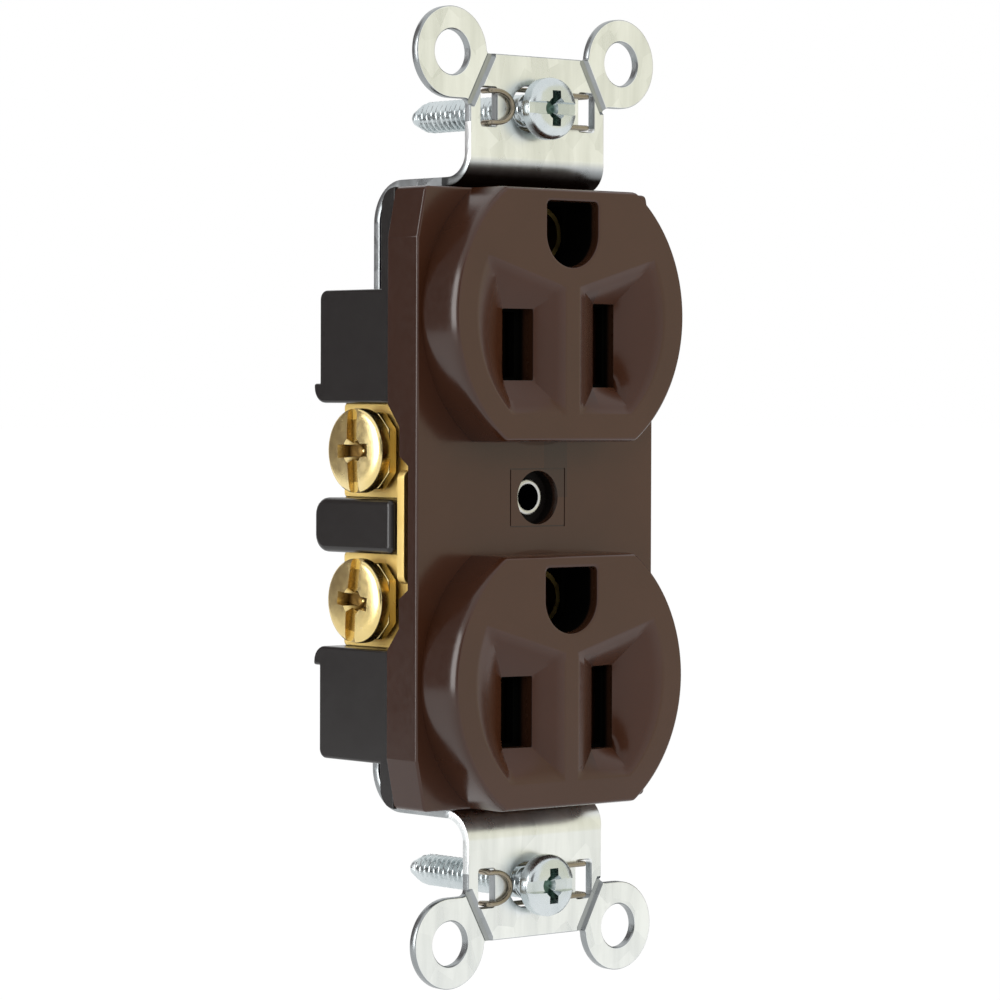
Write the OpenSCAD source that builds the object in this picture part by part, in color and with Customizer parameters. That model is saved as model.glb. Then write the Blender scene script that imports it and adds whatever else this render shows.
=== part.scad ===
// Duplex wall outlet: two grounded sockets in a moulded body, held by a steel strap that wraps
// round the back. X runs to the right, Y into the wall and Z up. The origin lies on the back
// face of the strap's ears, midway between the two box screws.

/* [Body] */
// Width of the cover's flange
flange_w = 33.9; // [33:0.1:41]
// Height of the cover and base, between the strap's end legs
body_h = 66; // [62:0.5:80]
// How far the flange's face stands in front of the origin plane
flange_front = 1.1; // [0.9:0.1:2]
// Depth of the flange, from its face to the joint with the base
flange_d = 4.95; // [4.4:0.05:6.5]
// Step from the flange's side in to the base's side
side_step = 0.95; // [0.5:0.05:1.5]
// Depth of the base's thin shoulders behind the joint
shoulder_d = 2.25; // [1.5:0.05:3]
// Depth of the base's blocks behind the origin plane
block_rear = 16.5; // [15.8:0.1:20]
// Height of the base's blocks
block_h = 50.6; // [48:0.2:56]
// How far the barriers beside the terminals stand behind the blocks
barrier_out = 1; // [0.5:0.1:2]
// Height of the slanted corner of the flange
flange_corner_h = 5.4; // [3:0.1:7]
// Width taken off at the slanted corner of the flange
flange_corner_w = 1.1; // [0.5:0.1:2]

/* [Sockets] */
// Radius of a socket's raised face
face_r = 16.4; // [16:0.1:17]
// Height of a socket's face between its two flats
face_h = 27; // [26.6:0.1:28]
// How far a socket's face stands in front of the flange
face_rise = 5.63; // [5:0.05:7]
// Distance between the two blade slots of a socket
slot_pitch = 12.7; // [12.5:0.1:13]
// Distance of the slots' middle below the middle of the face
slot_drop = 3.15; // [2.8:0.05:3.4]
// Height of the hot blade slot
hot_slot_h = 7.6; // [7:0.1:8]
// Height of the neutral blade slot
neutral_slot_h = 9; // [8.6:0.1:9.4]
// Width of a blade slot
slot_w = 2.2; // [1.9:0.1:2.6]
// Depth of the funnel that leads to each slot
funnel_d = 3.25; // [2.5:0.05:3.6]
// Radius of the funnel's round outer edge, from the middle of the face
funnel_r = 13.7; // [12.5:0.1:14]
// Height of the grounding pin above the slots' middle
ground_rise = 11.9; // [11.6:0.05:12]
// Width of the grounding pin's opening
ground_w = 7.2; // [6:0.1:7.4]
// Height of the grounding pin's opening
ground_h = 6.95; // [6:0.05:7.2]
// Diameter of a grounding pin
pin_d = 4.8; // [4.7:0.05:4.9]
// Gap between a contact's two blade leaves
leaf_gap = 1.3; // [1.1:0.1:1.5]
// Thickness of the contact leaves
leaf_t = 0.7; // [0.5:0.05:0.8]

/* [Strap] */
// Thickness of the strap
strap_t = 1; // [0.8:0.05:1.3]
// Width of the strap's ear plates
ear_plate_w = 19.2; // [18.6:0.1:20]
// Width of the strap where it wraps round the body
leg_w = 20.4; // [19.4:0.1:21]
// Distance of the box screws from the body's end
screw_reach = 8.67; // [8.4:0.01:9]
// Distance of the ear plate's edge from the body's end
plate_reach = 14.1; // [13.8:0.1:15]
// Distance of the ear holes from the body's end
ear_reach = 14.2; // [14:0.1:15]
// Distance between the two ear holes at one end
ear_pitch = 24.24; // [24:0.02:25.4]
// Outer radius of an ear
ear_r = 4.85; // [4.4:0.05:5.2]
// Diameter of an ear's hole
ear_hole_d = 4.8; // [4.2:0.1:5]
// Inner radius of the bend from the ear plate to the leg
bend_r = 2.2; // [1.5:0.1:2.6]
// Inner radius of the strap's two rear corners
corner_r = 3.7; // [2.5:0.1:4.2]
// Length of the slot for a box screw
screw_slot_l = 7.5; // [7:0.1:8]
// Height of the slot for a box screw
screw_slot_h = 4.9; // [4.4:0.1:5]
// Distance of a clip window's middle from the strap's middle
window_x = 7; // [6.8:0.1:7.2]
// Width of a clip window
window_w = 2.2; // [1.8:0.1:2.4]
// Height of a clip window
window_h = 4.1; // [3.8:0.05:4.4]
// Depth of the back of the strap behind the origin plane
strap_rear = 14.4; // [13.8:0.1:15]

/* [Terminals] */
// Distance between the upper and lower terminal screws
terminal_pitch = 16.1; // [15.6:0.1:18]
// Distance of the terminals' middle below the body's middle
terminal_drop = 3.05; // [2.5:0.05:3.5]
// Distance from the strap's back forward to the terminal screws' axes
terminal_inset = 4.3; // [4:0.05:4.8]
// Depth of the side recess, from the base's side to the terminal plate
recess_d = 2.5; // [2:0.1:3]
// Thickness of the terminal plates
plate_t = 1.2; // [1:0.05:1.4]
// Height of each terminal plate
plate_h = 10.2; // [9.8:0.1:10.6]
// Depth of a terminal plate's rear edge behind the origin plane
plate_rear = 15.3; // [14.6:0.1:15.6]
// Distance from the terminal screws' axes forward to the front of the plates and their tab
tab_inset = 7.3; // [7:0.1:7.5]
// Height of the break-off tab between the two plates
tab_h = 12.1; // [11.6:0.1:12.6]
// How far the break-off tab stands out of the plate's face
tab_out = 2; // [1:0.1:2.2]
// Thickness of the barrier between the two terminals
divider_h = 5.9; // [5:0.1:6.4]
// Width of the barriers' thick edges beside the blocks
lip_h = 2.1; // [1.5:0.1:3]
// Diameter of a terminal screw's shank
terminal_shank_d = 4.16; // [3.5:0.02:4.2]
// Diameter of a terminal screw's head
terminal_head_d = 9.1; // [8.4:0.1:9.4]
// Thickness of a terminal screw's head
terminal_head_t = 1.75; // [1.4:0.05:2.2]
// Length of a terminal screw under its head
terminal_shank_l = 6.4; // [5.5:0.1:7]
// Width of the square clamping plate under a terminal screw's head
clamp_w = 8.2; // [7.6:0.1:8.8]
// Thickness of a clamping plate
clamp_t = 1.1; // [0.9:0.05:1.4]
// Gap from a clamping plate to its terminal plate as delivered
wire_gap = 0.35; // [0.3:0.05:1]
// Diameter of the grounding screw's head
ground_head_d = 7.8; // [7:0.1:8]
// Thickness of the grounding screw's head
ground_head_t = 1.8; // [1.4:0.1:2.2]

/* [Fasteners] */
// Outer diameter of the box screws' thread
box_screw_d = 3.5; // [3.3:0.05:3.6]
// Diameter of the plain neck under a box screw's head
box_neck_d = 3.1; // [2.9:0.05:3.5]
// Depth behind the origin plane where a box screw's thread starts
box_thread_y = 1.1; // [1:0.1:2]
// Diameter of a box screw's head
box_head_d = 6.65; // [6:0.05:7.2]
// Thickness of a box screw's head
box_head_t = 2; // [1.5:0.1:2.4]
// Gap between a box screw's head and the strap
box_head_float = 1.05; // [0.9:0.05:1.5]
// Depth of a box screw's tip behind the origin plane
box_screw_tip = 19.1; // [16:0.1:24]
// Diameter of the wire of a screw clip
clip_wire_d = 0.56; // [0.4:0.02:0.6]
// Outer diameter of the hollow centre post
post_d = 3.5; // [3.4:0.05:3.8]
// Diameter of the centre post's tapped bore
post_bore_d = 2.8; // [2.6:0.05:2.9]
// Diameter of the centre post's rolled front rim
post_rim_d = 3.96; // [3.9:0.02:4.6]
// Diameter of the recess round the centre post
post_recess_d = 5.8; // [5:0.1:6.4]
// Depth of the post's rim below the flange's face
post_rim_depth = 1.45; // [1:0.05:2]
// Diameter of the rivets that hold the grounding contacts
rivet_d = 2.4; // [2:0.1:3]
// Diameter of a rivet's head
rivet_head_d = 4.4; // [4:0.1:5]

/* [Fits] */
// Radial clearance of a screw in the hole that it turns in
turn_gap = 0.05; // [0.02:0.01:0.09]
// Clearance between the body and the strap that wraps round it
wrap_gap = 0.2; // [0.1:0.05:0.4]
// Clearance between a contact and the pocket that it sits in
pocket_gap = 0.15; // [0.1:0.05:0.3]
// Clearance of the clip's wire round a box screw
clip_gap = 0.08; // [0.05:0.01:0.15]

/* [Hidden] */
$fn = 64;
thin = 0.01;      // thickness of the outlines that a funnel runs between
past = 0.5;       // how far a cut runs past the face that it opens
END = [1, -1];    // upper and lower
SIDE = [-1, 1];   // hot on the left, neutral on the right

// Body
half_h = body_h / 2;
joint_y = flange_d - flange_front;
shoulder_y = joint_y + shoulder_d;
barrier_rear = block_rear + barrier_out;
base_x = flange_w / 2 - side_step;
block_mid = -terminal_drop;
shoulder_round = 3;
shoulder_edge = 0.1;
shoulder_r = min(shoulder_round, shoulder_d - shoulder_edge);
block_r = 1;

// Sockets
face_z = half_h - face_h / 2;
face_y = -flange_front - face_rise;
slot_y = face_y + funnel_d;
slot_wall = 1.5;
cavity_y = slot_y + slot_wall;
ridge_x = 0.8;
funnel_top = 6.4;
funnel_ridge_top = 3.1;
funnel_bottom = -10.7;
funnel_start = asin(funnel_top / funnel_r);
funnel_end = asin(funnel_bottom / funnel_r);
pin_z = ground_rise - slot_drop;
leaf_room = 0.6;
leaf_reach = 4.45;
leaf_front = cavity_y + leaf_room;
leaf_rear = joint_y + leaf_reach;
leaf_h = [6.6, 7.8];
chamber_wall = 0.5;
chamber_in = slot_pitch / 2 - leaf_gap / 2 - leaf_t - chamber_wall;
chamber_out = slot_pitch / 2 + leaf_gap / 2 + leaf_t + chamber_wall;
socket_tube_t = 0.6;
socket_tube_r = pin_d / 2 + socket_tube_t;
tube_reach = 4;
socket_tube_rear = joint_y + tube_reach;
ground_web_t = 0.8;
tube_slit = 1.2;
ground_web_w = 5;
ground_foot_l = 5.4;
ground_web_z = -socket_tube_r - ground_web_t / 2;

// Strap
leg_z = half_h + wrap_gap;
strap_in = strap_rear - strap_t;
screw_z = half_h + screw_reach;
plate_z = half_h + plate_reach;
ear_z = half_h + ear_reach;
groove_top_x = 6.1;
groove_low_drop = 5.5;
groove_w = 0.9;
groove_d = 0.3;
past_groove = 0.15;
root_rise = 0.05;
ear_root_x = groove_top_x + groove_w + past_groove;
ear_root_z = ear_z - ear_r + root_rise;
ground_tab_drop = 5.9;
ground_tab_z = half_h - ground_tab_drop;
ground_tab_h = 8.4;
ground_tab_out = 3.3;
ground_tab_d = 7.9;
ground_screw_inset = 4.1;
ground_tab_x = leg_w / 2 + ground_tab_out;
ground_tab_y = strap_rear - ground_tab_d;
ground_screw_y = strap_rear - ground_screw_inset;
ground_screw_gap = 0.6;
ground_shank_l = 6;

// Terminals
plate_x = base_x - recess_d;
plate_in = plate_x - plate_t;
terminal_reach = (terminal_pitch + plate_h) / 2;
terminal_y = strap_rear - terminal_inset;
tab_front = terminal_y - tab_inset;
clamp_x = plate_x + wire_gap;
head_x = clamp_x + clamp_t;
shank_r = terminal_shank_d / 2;
riser_w = 3.5;
riser_front = leaf_rear - riser_w;
shank_room = 0.5;
clamp_corner = 1.8;
drive_w = 1.3;
drive_d = 0.9;
divider_step = 0.45;
divider_front = joint_y + divider_step;
barrier_r = 2;
flange_thin_step = 2;
flange_tab_step = 3.45;
flange_slope = 2.5;
flange_tab_slope = 1;
flange_thin_y = joint_y - flange_thin_step;
flange_tab_y = joint_y - flange_tab_step;

// Fasteners
box_r = box_screw_d / 2;
box_head_y = -strap_t - box_head_float;
box_tip_l = 2.2;
box_tip_share = 0.55;
clip_r = clip_wire_d / 2;
clip_leg_z = box_r + clip_r + clip_gap;
clip_stand = 0.06;
clip_front = -strap_t - clip_r - clip_stand;
clip_back = clip_r + clip_stand;
clip_window_z = window_h / 2 - clip_r - clip_gap;
clip_spread_x = 2.5;
clip_loop_in = 0.8;
clip_loop_x = clip_loop_in - window_x;
clip_loop_w = 2.3;
loop_steps = 8;
clip_end_l = 2.8;
post_rim_y = post_rim_depth - flange_front;
post_rim_t = 0.5;
post_head_d = 6.2;
post_head_t = 0.7;
rivet_head_t = 0.8;
rivet_drop = 0.2;
rivet_z = ground_web_z - ground_foot_l / 2 - rivet_drop;

function terminal_z(end) = block_mid + end * terminal_pitch / 2;
function socket_z(end) = end * face_z;

// A 2-D outline in X and Z, drawn out in depth from y0 to y1
module along_y(y0, y1) {
    translate([0, y1, 0]) rotate([90, 0, 0]) linear_extrude(y1 - y0) children();
}

// A 2-D outline in Y and Z, drawn out in width from x0 to x1
module along_x(x0, x1) {
    translate([x0, 0, 0]) rotate([90, 0, 90]) linear_extrude(x1 - x0) children();
}

// A box between two corners
module block(low, high) {
    translate(low) cube(high - low);
}

// A box on one side of the body, between distances x0 and x1 from the middle
module side_block(side, x0, x1, y, z) {
    block([min(side * x0, side * x1), y[0], z[0]], [max(side * x0, side * x1), y[1], z[1]]);
}

// A round bar along Y
module bar_y(r, y0, y1) {
    translate([0, y1, 0]) rotate([90, 0, 0]) cylinder(r = r, h = y1 - y0);
}

// A round bar along X on one side, between distances x0 and x1 from the middle
module bar_x(side, r, x0, x1) {
    rotate([0, side * 90, 0]) translate([0, 0, x0]) cylinder(r = r, h = x1 - x0);
}

// An outline from y0 to y1, z high each way, with its two rear corners rounded
module rounded_rear(y0, y1, z, r) {
    intersection() {
        translate([y0, -z]) square([y1 - y0, 2 * z]);
        union() {
            translate([y0, -z]) square([y1 - r - y0, 2 * z]);
            translate([y0, r - z]) square([y1 - y0, 2 * (z - r)]);
            for (end = END) translate([y1 - r, end * (z - r)]) circle(r);
        }
    }
}

module flange_outline() {
    x = flange_w / 2;
    polygon([[x, half_h - flange_corner_h], [x - flange_corner_w, half_h],
             [flange_corner_w - x, half_h], [-x, half_h - flange_corner_h],
             [-x, flange_corner_h - half_h], [flange_corner_w - x, -half_h],
             [x - flange_corner_w, -half_h], [x, flange_corner_h - half_h]]);
}

// The flange's rear edge steps forward beside the terminals, and again beside the tab
module flange_side_cut() {
    top = terminal_reach;
    tab_top = tab_h / 2 + past;
    polygon([[joint_y + past, top], [joint_y, top], [flange_thin_y, top - flange_slope],
             [flange_thin_y, tab_top + flange_tab_slope], [flange_tab_y, tab_top], [flange_tab_y, -tab_top],
             [flange_thin_y, -tab_top - flange_tab_slope], [flange_thin_y, flange_slope - top],
             [joint_y, -top], [joint_y + past, -top]]);
}

module funnel_outline() {
    steps = 12;
    polygon(concat([[ridge_x, funnel_bottom], [ridge_x, funnel_ridge_top]],
                   [for (k = [0:steps]) let (a = funnel_start + (funnel_end - funnel_start) * k / steps)
                       funnel_r * [cos(a), sin(a)]]));
}

// The funnel and slot for one blade, on the right of the face; mirrored for the left
module blade_way(slot_h) {
    slot = [slot_pitch / 2 - slot_w / 2, -slot_drop - slot_h / 2];
    hull() {
        along_y(face_y - thin, face_y) funnel_outline();
        along_y(slot_y - thin, slot_y) translate(slot) square([slot_w, slot_h]);
    }
    along_y(slot_y - thin, cavity_y + past) translate(slot) square([slot_w, slot_h]);
}

module ground_outline() {
    r = ground_w / 2;
    translate([0, pin_z]) circle(r);
    translate([-r, pin_z]) square([ground_w, ground_h - r]);
}

// Room behind the face for one blade's contact leaves
module leaf_chamber(side, y0, y1) {
    h = leaf_h[side > 0 ? 1 : 0] / 2 + chamber_wall;
    side_block(side, chamber_in, chamber_out, [y0, y1], [-slot_drop - h, h - slot_drop]);
}

// Room behind the face for the grounding contact
module ground_chamber(y0, y1) {
    x = socket_tube_r + pocket_gap;
    block([-x, y0, pin_z + ground_web_z - ground_web_t / 2 - pocket_gap],
          [x, y1, pin_z + socket_tube_r + pocket_gap]);
}

module face_cover() {
    color([0.34, 0.26, 0.21]) difference() {
        union() {
            along_y(-flange_front, joint_y) flange_outline();
            for (end = END) translate([0, 0, socket_z(end)]) intersection() {
                bar_y(face_r, face_y, -flange_front + past);
                block([-face_r, face_y, -face_h / 2], [face_r, -flange_front + past, face_h / 2]);
            }
        }
        for (side = SIDE) {
            x = side > 0 ? plate_in - turn_gap : -flange_w;
            translate([0, 0, block_mid]) along_x(x, x + flange_w - plate_in + turn_gap) flange_side_cut();
            side_block(side, plate_in - pocket_gap, plate_x + pocket_gap,
                       [tab_front - pocket_gap, joint_y + past],
                       [block_mid - terminal_reach - pocket_gap, block_mid + terminal_reach + pocket_gap]);
        }
        for (end = END) translate([0, 0, socket_z(end)]) {
            blade_way(neutral_slot_h);
            mirror([1, 0, 0]) blade_way(hot_slot_h);
            along_y(face_y - past, cavity_y + past) ground_outline();
            for (side = SIDE) leaf_chamber(side, cavity_y, joint_y + past);
            ground_chamber(cavity_y, joint_y + past);
        }
        bar_y(post_recess_d / 2, -flange_front - past, post_rim_y + post_rim_t);
        bar_y(post_d / 2 + turn_gap, -flange_front, joint_y + past);
    }
}

// A barrier beside a terminal, with a rounded outer rear corner towards the screw
module barrier(end) {
    z0 = terminal_reach;
    mirror([0, end > 0 ? 0 : 1]) {
        translate([joint_y, z0]) square([barrier_rear - barrier_r - joint_y, lip_h]);
        translate([barrier_rear - barrier_r, z0 + barrier_r]) square([barrier_r, lip_h - barrier_r]);
        translate([barrier_rear - barrier_r, z0 + barrier_r]) intersection() {
            circle(barrier_r);
            translate([0, -barrier_r]) square(barrier_r + thin);
        }
    }
}

module divider_outline() {
    translate([divider_front, -divider_h / 2]) square([barrier_rear - barrier_r - divider_front, divider_h]);
    translate([divider_front, barrier_r - divider_h / 2])
        square([barrier_rear - divider_front, divider_h - 2 * barrier_r]);
    for (end = END)
        translate([barrier_rear - barrier_r, end * (divider_h / 2 - barrier_r)]) circle(barrier_r);
}

module rear_base() {
    channel = leg_w / 2 + wrap_gap;
    spine = strap_in - wrap_gap;
    color([0.2, 0.18, 0.17]) difference() {
        union() {
            difference() {
                union() {
                    along_x(-base_x, base_x) rounded_rear(joint_y, shoulder_y, half_h, shoulder_r);
                    translate([0, 0, block_mid])
                        along_x(-base_x, base_x) rounded_rear(joint_y, block_rear, block_h / 2, block_r);
                }
                translate([0, 0, block_mid]) for (side = SIDE)
                    side_block(side, plate_in - turn_gap, base_x + past, [joint_y - past, block_rear + past],
                               [-terminal_reach, terminal_reach]);
            }
            along_x(-leg_w / 2, leg_w / 2) rounded_rear(joint_y, spine, half_h, corner_r);
            translate([0, 0, block_mid]) for (side = SIDE) {
                x = side > 0 ? plate_in - past : -base_x;
                along_x(x, x + base_x - plate_in + past) {
                    divider_outline();
                    for (end = END) barrier(end);
                }
            }
        }
        block([-channel, spine, -body_h], [channel, barrier_rear + past, body_h]);
        for (side = SIDE, end = END) {
            translate([0, terminal_y, terminal_z(end)])
                bar_x(side, shank_r + shank_room, head_x - terminal_shank_l - shank_room, plate_x);
            translate([0, 0, socket_z(end)]) {
                leaf_chamber(side, joint_y - past, leaf_rear + pocket_gap);
                web_room(side);
            }
            riser_room(side, end);
        }
        for (end = END) translate([0, 0, socket_z(end)]) {
            ground_chamber(joint_y - past, socket_tube_rear + pocket_gap);
            ground_foot_room();
        }
        ground_tab_room();
        bar_y(post_d / 2 + turn_gap, joint_y - past, strap_rear);
    }
}

// Room for the strap's grounding tab, and for the head and shank of its screw
module ground_tab_room() {
    x = ground_tab_x - strap_t - wrap_gap;
    z = ground_tab_h / 2 + wrap_gap;
    side_block(1, x, base_x + past, [ground_tab_y - wrap_gap, strap_rear],
               [ground_tab_z - z, ground_tab_z + z]);
    translate([0, ground_screw_y, ground_tab_z]) {
        bar_x(1, ground_head_d / 2 + wrap_gap, ground_tab_x, base_x + past);
        bar_x(1, shank_r + shank_room, ground_tab_x + ground_screw_gap - ground_shank_l - shank_room, base_x);
    }
}

// Pocket for the flat web that leads from the leaves out to the riser
module web_room(side) {
    h = leaf_h[side > 0 ? 1 : 0] / 2 + pocket_gap;
    side_block(side, chamber_out - past, plate_x + pocket_gap, [joint_y - past, leaf_rear + pocket_gap],
               [-slot_drop - h, h - slot_drop]);
}

// Pocket for the riser that leads from a terminal plate to a socket's contact
module riser_room(side, end) {
    near = terminal_z(end) + end * (plate_h / 2 - past);
    far = socket_z(end) - slot_drop;
    side_block(side, plate_in - pocket_gap, plate_x + pocket_gap, [joint_y - past, leaf_rear + pocket_gap],
               [min(near, far), max(near, far)]);
}

// Room for the grounding contact's web and foot, open at the back to the strap
module ground_foot_room() {
    x = ground_web_w / 2 + pocket_gap;
    z = pin_z + ground_web_z + ground_web_t / 2;
    block([-x, joint_y - past, z - ground_web_t - pocket_gap], [x, strap_rear, z + pocket_gap]);
    front = strap_in - ground_web_t - rivet_head_t - wrap_gap - pocket_gap;
    block([-x, front, z - ground_foot_l - pocket_gap], [x, strap_rear, z + pocket_gap]);
}

// The strap's bend from an ear plate back to the leg, on the upper end
module bend_outline() {
    translate([bend_r, leg_z + strap_t + bend_r]) intersection() {
        difference() {
            circle(bend_r + strap_t);
            circle(bend_r);
        }
        translate([-bend_r - strap_t, -bend_r - strap_t]) square(bend_r + strap_t);
    }
}

// The ear plate with its two break-off ears, on the upper end
module ear_outline() {
    x = ear_plate_w / 2;
    bend_z = leg_z + strap_t + bend_r;
    difference() {
        union() {
            polygon([[-x, bend_z], [x, bend_z], [x, plate_z - groove_low_drop],
                     [ear_root_x, plate_z], [-ear_root_x, plate_z],
                     [-x, plate_z - groove_low_drop]]);
            for (side = SIDE) scale([side, 1]) {
                translate([ear_pitch / 2, ear_z]) circle(ear_r);
                polygon([[ear_pitch / 2, ear_root_z], [groove_top_x, ear_root_z], [groove_top_x, plate_z],
                         [ear_root_x, plate_z], [ear_pitch / 2, ear_z]]);
            }
        }
        for (side = SIDE) {
            translate([side * ear_pitch / 2, ear_z]) circle(d = ear_hole_d);
            translate([side * window_x - window_w / 2, screw_z - window_h / 2]) square([window_w, window_h]);
        }
        screw_slot();
    }
}

// The rounded slot for a box screw
module screw_slot() {
    half = (screw_slot_l - screw_slot_h) / 2;
    translate([-half, screw_z - screw_slot_h / 2]) square([2 * half, screw_slot_h]);
    for (side = SIDE) translate([side * half, screw_z]) circle(d = screw_slot_h);
}

// The shallow line along which an ear breaks off, on the right of the upper end
module groove_outline() {
    x = ear_plate_w / 2;
    polygon([[groove_top_x, plate_z + past], [groove_top_x + groove_w, plate_z + past],
             [groove_top_x + groove_w, plate_z], [x, plate_z - groove_low_drop + groove_w],
             [x + past, plate_z - groove_low_drop], [x - groove_w / 2, plate_z - groove_low_drop],
             [groove_top_x, plate_z]]);
}

module strap_end() {
    x = ear_plate_w / 2;
    along_x(-x, x) bend_outline();
    difference() {
        along_y(-strap_t, 0) ear_outline();
        for (side = SIDE) scale([side, 1, 1]) along_y(-strap_t - past, groove_d - strap_t) groove_outline();
    }
}

// The strap's legs and back, as a band of even thickness
module strap_wrap() {
    x = leg_w / 2;
    difference() {
        along_x(-x, x) rounded_rear(bend_r, strap_rear, leg_z + strap_t, corner_r + strap_t);
        along_x(-x - past, x + past) rounded_rear(bend_r - past, strap_in, leg_z, corner_r);
    }
}

// The tab on the right that carries the grounding screw
module ground_tab() {
    z = [ground_tab_z - ground_tab_h / 2, ground_tab_z + ground_tab_h / 2];
    block([leg_w / 2 - thin, strap_in, z[0]], [ground_tab_x, strap_rear, z[1]]);
    block([ground_tab_x - strap_t, ground_tab_y, z[0]], [ground_tab_x, strap_rear, z[1]]);
}

module mounting_strap() {
    color([0.78, 0.79, 0.76]) difference() {
        union() {
            strap_end();
            mirror([0, 0, 1]) strap_end();
            strap_wrap();
            ground_tab();
        }
        bar_y(post_d / 2, strap_in - past, strap_rear + past);
        for (end = END) translate([0, 0, socket_z(end) + pin_z + rivet_z])
            bar_y(rivet_d / 2, strap_in - past, strap_rear + past);
        translate([0, ground_screw_y, ground_tab_z])
            bar_x(1, shank_r + turn_gap, ground_tab_x - strap_t - past, ground_tab_x + past);
    }
}

// One blade's contact: two leaves joined by a web that runs out to the terminal plate's riser
module blade_contact(side, end) {
    h = leaf_h[side > 0 ? 1 : 0] / 2;
    z = socket_z(end) - slot_drop;
    inner = slot_pitch / 2 - leaf_gap / 2;
    outer = slot_pitch / 2 + leaf_gap / 2;
    near = terminal_z(end);
    side_block(side, inner - leaf_t, inner, [leaf_front, leaf_rear], [z - h, z + h]);
    side_block(side, outer, outer + leaf_t, [leaf_front, leaf_rear], [z - h, z + h]);
    side_block(side, inner - leaf_t, plate_x, [leaf_rear - leaf_t, leaf_rear], [z - h, z + h]);
    side_block(side, plate_in, plate_x, [riser_front, leaf_rear], [min(near, z - h), max(near, z + h)]);
}

// A current strip: two terminal plates with tapped holes, the break-off tab and two contacts
module contact_strip(side) {
    difference() {
        union() {
            for (end = END) {
                z = terminal_z(end);
                side_block(side, plate_in, plate_x, [tab_front, plate_rear],
                           [z - plate_h / 2, z + plate_h / 2]);
                blade_contact(side, end);
            }
            side_block(side, plate_in, plate_x + tab_out, [tab_front, tab_front + plate_t],
                       [block_mid - tab_h / 2, block_mid + tab_h / 2]);
        }
        for (end = END) translate([0, terminal_y, terminal_z(end)])
            bar_x(side, shank_r + turn_gap, plate_in - past, plate_x + past);
    }
}

module hot_contact_strip() {
    color([0.8, 0.66, 0.32]) contact_strip(-1);
}

module neutral_contact_strip() {
    color([0.78, 0.76, 0.7]) contact_strip(1);
}

// A grounding contact: a split tube for the pin, with a web back to a foot on the strap
module ground_contact(end) {
    web = [ground_web_z - ground_web_t / 2, ground_web_z + ground_web_t / 2];
    color([0.8, 0.66, 0.32]) translate([0, 0, socket_z(end) + pin_z]) difference() {
        union() {
            bar_y(socket_tube_r, leaf_front, socket_tube_rear);
            block([-ground_web_w / 2, leaf_front, web[0]], [ground_web_w / 2, strap_in, web[1]]);
            block([-ground_web_w / 4, leaf_front, web[0]], [ground_web_w / 4, socket_tube_rear, -pin_d / 2]);
            block([-ground_web_w / 2, strap_in - ground_web_t, web[1] - ground_foot_l],
                  [ground_web_w / 2, strap_in, web[1]]);
        }
        bar_y(pin_d / 2 + turn_gap, leaf_front - past, socket_tube_rear + past);
        block([-tube_slit / 2, leaf_front - past, 0],
              [tube_slit / 2, socket_tube_rear + past, socket_tube_r + past]);
        translate([0, 0, rivet_z]) bar_y(rivet_d / 2, strap_in - ground_web_t - past, strap_in + past);
    }
}

module ground_contact_upper() {
    ground_contact(1);
}

module ground_contact_lower() {
    ground_contact(-1);
}

module ground_rivets() {
    front = strap_in - ground_web_t;
    color([0.72, 0.73, 0.72]) for (end = END) translate([0, 0, socket_z(end) + pin_z + rivet_z]) {
        bar_y(rivet_head_d / 2, front - rivet_head_t, front);
        bar_y(rivet_d / 2, front - thin, strap_rear + thin);
        bar_y(rivet_head_d / 2, strap_rear, strap_rear + rivet_head_t);
    }
}

// The hollow post that is rolled over in the cover's recess and headed on the strap's back
module center_post() {
    color([0.75, 0.75, 0.74]) difference() {
        union() {
            bar_y(post_rim_d / 2, post_rim_y, post_rim_y + post_rim_t);
            bar_y(post_d / 2, post_rim_y, strap_rear + thin);
            bar_y(post_head_d / 2, strap_rear, strap_rear + post_head_t);
        }
        bar_y(post_bore_d / 2, post_rim_y - past, strap_rear + post_head_t + past);
    }
}

// A side screw whose head lies between distances x and x + t, with a slot and a cross
module side_screw(side, x, d, t, length) {
    difference() {
        union() {
            bar_x(side, d / 2, x, x + t);
            bar_x(side, shank_r, x - length, x + thin);
        }
        side_block(side, x + t - drive_d, x + t + past, [-drive_w / 2, drive_w / 2], [-d, d]);
        side_block(side, x + t - drive_d, x + t + past, [-d / 4, d / 4], [-drive_w / 2, drive_w / 2]);
    }
}

module terminal_screw(side, end) {
    translate([0, terminal_y, terminal_z(end)])
        side_screw(side, head_x, terminal_head_d, terminal_head_t, terminal_shank_l);
}

module hot_screw_upper() {
    color([0.85, 0.7, 0.35]) terminal_screw(-1, 1);
}

module hot_screw_lower() {
    color([0.85, 0.7, 0.35]) terminal_screw(-1, -1);
}

module neutral_screw_upper() {
    color([0.78, 0.78, 0.76]) terminal_screw(1, 1);
}

module neutral_screw_lower() {
    color([0.78, 0.78, 0.76]) terminal_screw(1, -1);
}

// The square plate that clamps a wire against the terminal plate, with its corners cut off
module clamp(side, end) {
    h = clamp_w / 2;
    c = h - clamp_corner;
    x = side > 0 ? clamp_x : -head_x;
    translate([0, terminal_y, terminal_z(end)]) difference() {
        along_x(x, x + clamp_t)
            polygon([[h, c], [c, h], [-c, h], [-h, c], [-h, -c], [-c, -h], [c, -h], [h, -c]]);
        bar_x(side, shank_r + turn_gap, clamp_x - past, head_x + past);
    }
}

module hot_clamp_upper() {
    color([0.8, 0.64, 0.3]) clamp(-1, 1);
}

module hot_clamp_lower() {
    color([0.8, 0.64, 0.3]) clamp(-1, -1);
}

module neutral_clamp_upper() {
    color([0.75, 0.75, 0.73]) clamp(1, 1);
}

module neutral_clamp_lower() {
    color([0.75, 0.75, 0.73]) clamp(1, -1);
}

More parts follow.
